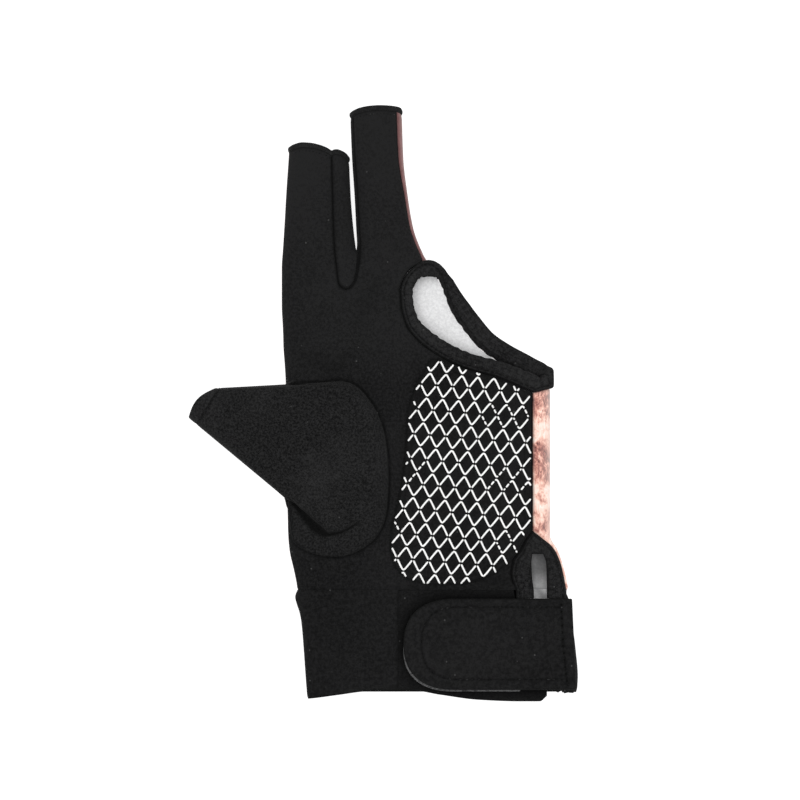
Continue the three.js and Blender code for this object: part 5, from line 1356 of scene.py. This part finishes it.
def stitch_row(name, line, pitch, length, width, swing=0.0, sink=0.05, material=thread, shade=0.0):
    """Stitches a pitch apart along a line, turned to one side and the other by the swing. Each is
    a small ellipsoid along its seam, sunk into the cloth."""
    run = distance_along(line)
    want = np.arange(pitch / 2, run[-1], pitch)
    centres = read_off(line, run, want)
    way = unit(read_off(line, run, want + 0.3) - centres)
    side = np.where(np.arange(len(centres)) % 2 == 0, swing, -swing)[:, None]
    along = unit(way + np.cross(upward, way) * side)
    aside = unit(np.cross(upward, along))
    axes = np.stack([along, aside, np.cross(along, aside)], 1)
    ring, end = np.linspace(0, 2 * np.pi, 9), np.linspace(-np.pi / 2, np.pi / 2, 7)[:, None]
    shape = np.broadcast_arrays(np.sin(end) * length / 2, np.cos(end) * np.cos(ring) * width / 2,
                                np.cos(end) * np.sin(ring) * width / 2)
    grids = (centres - upward * sink)[:, None, None] + np.einsum("kij,nkc->nijc", np.array(shape), axes)
    return closed_piece(name, weld(*grids), [material], None, sharp=80, shade=shade)


def on_strap(line):
    return np.column_stack([line, strap_face(line)])


strap_line, strap_end_line = (on_strap(evenly(line, 0.3)[0]) for line in (stitch_outline, end_line))
stitch_row("strap_stitches", strap_line, pitch=2.1, length=1.3, width=0.42, swing=0.1)
# The stitches across the strap's end are beads of the strap's cloth, painted in full shade as dark dots.
stitch_row("strap_end_stitches", strap_end_line, pitch=2.5, length=1.0, width=0.85, swing=0.5,
           material=foam_cloth, shade=1.0)
# Where the gusset leaves the crotch its seam stands up as a narrow ridge, painted in deep shade.
crotch_at = np.linspace(0.014, 0.235, 60)
crotch_line = lay(middle_row(crotch_at), top_of, across(MIDDLE, "stitch", crotch_at) - 0.1)[:, 0]
stitch_row("crotch_seam", crotch_line, pitch=0.55, length=1.5, width=1.0, swing=0.1, sink=0.22,
           material=black_jersey, shade=0.85)
for name, line in (("opening_stitches", opening_line), ("slit_stitches", slit_line)):
    stitch_row(name, line, pitch=1.9, length=1.2, width=0.3, swing=0.15, sink=0.15)
hem_ring = thumb_rings([hem_at - 0.004])[0]
stitch_row("thumb_hem_stitches", hem_ring[hem_ring[:, 2] > THUMB_TIP_LEVEL + 0.6], pitch=1.6,
           length=1.1, width=0.32, sink=0.02)
# Near each finger tip a row of stitches comes through from the overlocked edge.
FROM_TIP = 3.1
for name, row, columns, ends in (
    ("index_tip_stitches", index_row([1 - FROM_TIP / INDEX_LENGTH]), INDEX, ("left", "stitch")),
    ("middle_tip_stitches", middle_row([1 - FROM_TIP / MIDDLE_LENGTH]), MIDDLE, ("stitch", "seam")),
):
    ends = [columns[end][-1] * PALM_WIDTH for end in ends]
    line = lay(row, top_of, np.linspace(ends[0] + 1.2, ends[1] - 0.8, 60)[None])[0]
    stitch_row(name, line, pitch=1.25, length=0.6, width=0.34, swing=0.6, sink=0.08)

# Floor: the white table that the glove lies on.
floor_mesh = bpy.data.meshes.new("floor")
FLOOR_HALF, FLOOR_LEVEL = 3.0, -0.0002
corners = [(x * FLOOR_HALF, y * FLOOR_HALF, FLOOR_LEVEL) for x, y in ((-1, -1), (1, -1), (1, 1), (-1, 1))]
floor_mesh.from_pydata(corners, [], [(0, 1, 2, 3)])
floor = bpy.data.objects.new("floor", floor_mesh)
bpy.context.scene.collection.objects.link(floor)
floor_paint, tree = new_material("floor_white")
for key, value in {
    "Base Color": (0.5, 0.5, 0.5, 1), "Emission Color": (1, 1, 1, 1), "Emission Strength": 0.8,
    "Roughness": 0.9, "Specular IOR Level": 0.1,
}.items():
    tree.nodes["Principled BSDF"].inputs[key].default_value = value
floor_mesh.materials.append(floor_paint)

# Light: an even white studio with one large soft lamp above and a weaker one from the upper right.
world = bpy.data.worlds.new("studio")
world.use_nodes = True
world.node_tree.nodes["Background"].inputs["Color"].default_value = (1, 1, 1, 1)
world.node_tree.nodes["Background"].inputs["Strength"].default_value = 0.35
bpy.context.scene.world = world
for name, place, size, watts in (
    ("overhead", (0, 0.1, 2.4), 2.4, 62),
    ("upper_right", (1.2, 0.9, 1.6), 1.0, 12),
):
    lamp = bpy.data.lights.new(name, "AREA")
    lamp.size = size
    lamp.energy = watts
    holder = bpy.data.objects.new(name, lamp)
    holder.location = place
    direction = -np.array(place) / np.linalg.norm(place)
    holder.rotation_euler = (math.acos(-direction[2]), 0, math.atan2(direction[0], -direction[1]))
    bpy.context.scene.collection.objects.link(holder)
bpy.context.scene.view_settings.view_transform = "Standard"

# Camera: straight above the glove, with a long lens. A pixel is 0.3603 mm at the palm's level.
# The palm's left edge and the wrist seam lie at these pixels from the picture's left and top.
PIXEL, PICTURE = 0.3603, 800
PALM_PIXEL, SEAM_PIXEL = 281, 590
VIEW_CENTRE = ((PICTURE / 2 - PALM_PIXEL) / 2.7755, (SEAM_PIXEL - PICTURE / 2) / 2.773)
DISTANCE, PALM_LEVEL = 2.0, 0.009
camera = bpy.data.cameras.new("camera")
camera.sensor_width = 36
camera.lens = 36 * DISTANCE / (PIXEL * PICTURE / 1000)
holder = bpy.data.objects.new("camera", camera)
holder.location = (
    (VIEW_CENTRE[0] + ORIGIN[0]) / 1000,
    (VIEW_CENTRE[1] + ORIGIN[1]) / 1000,
    DISTANCE + PALM_LEVEL,
)
bpy.context.scene.collection.objects.link(holder)
bpy.context.scene.camera = holder
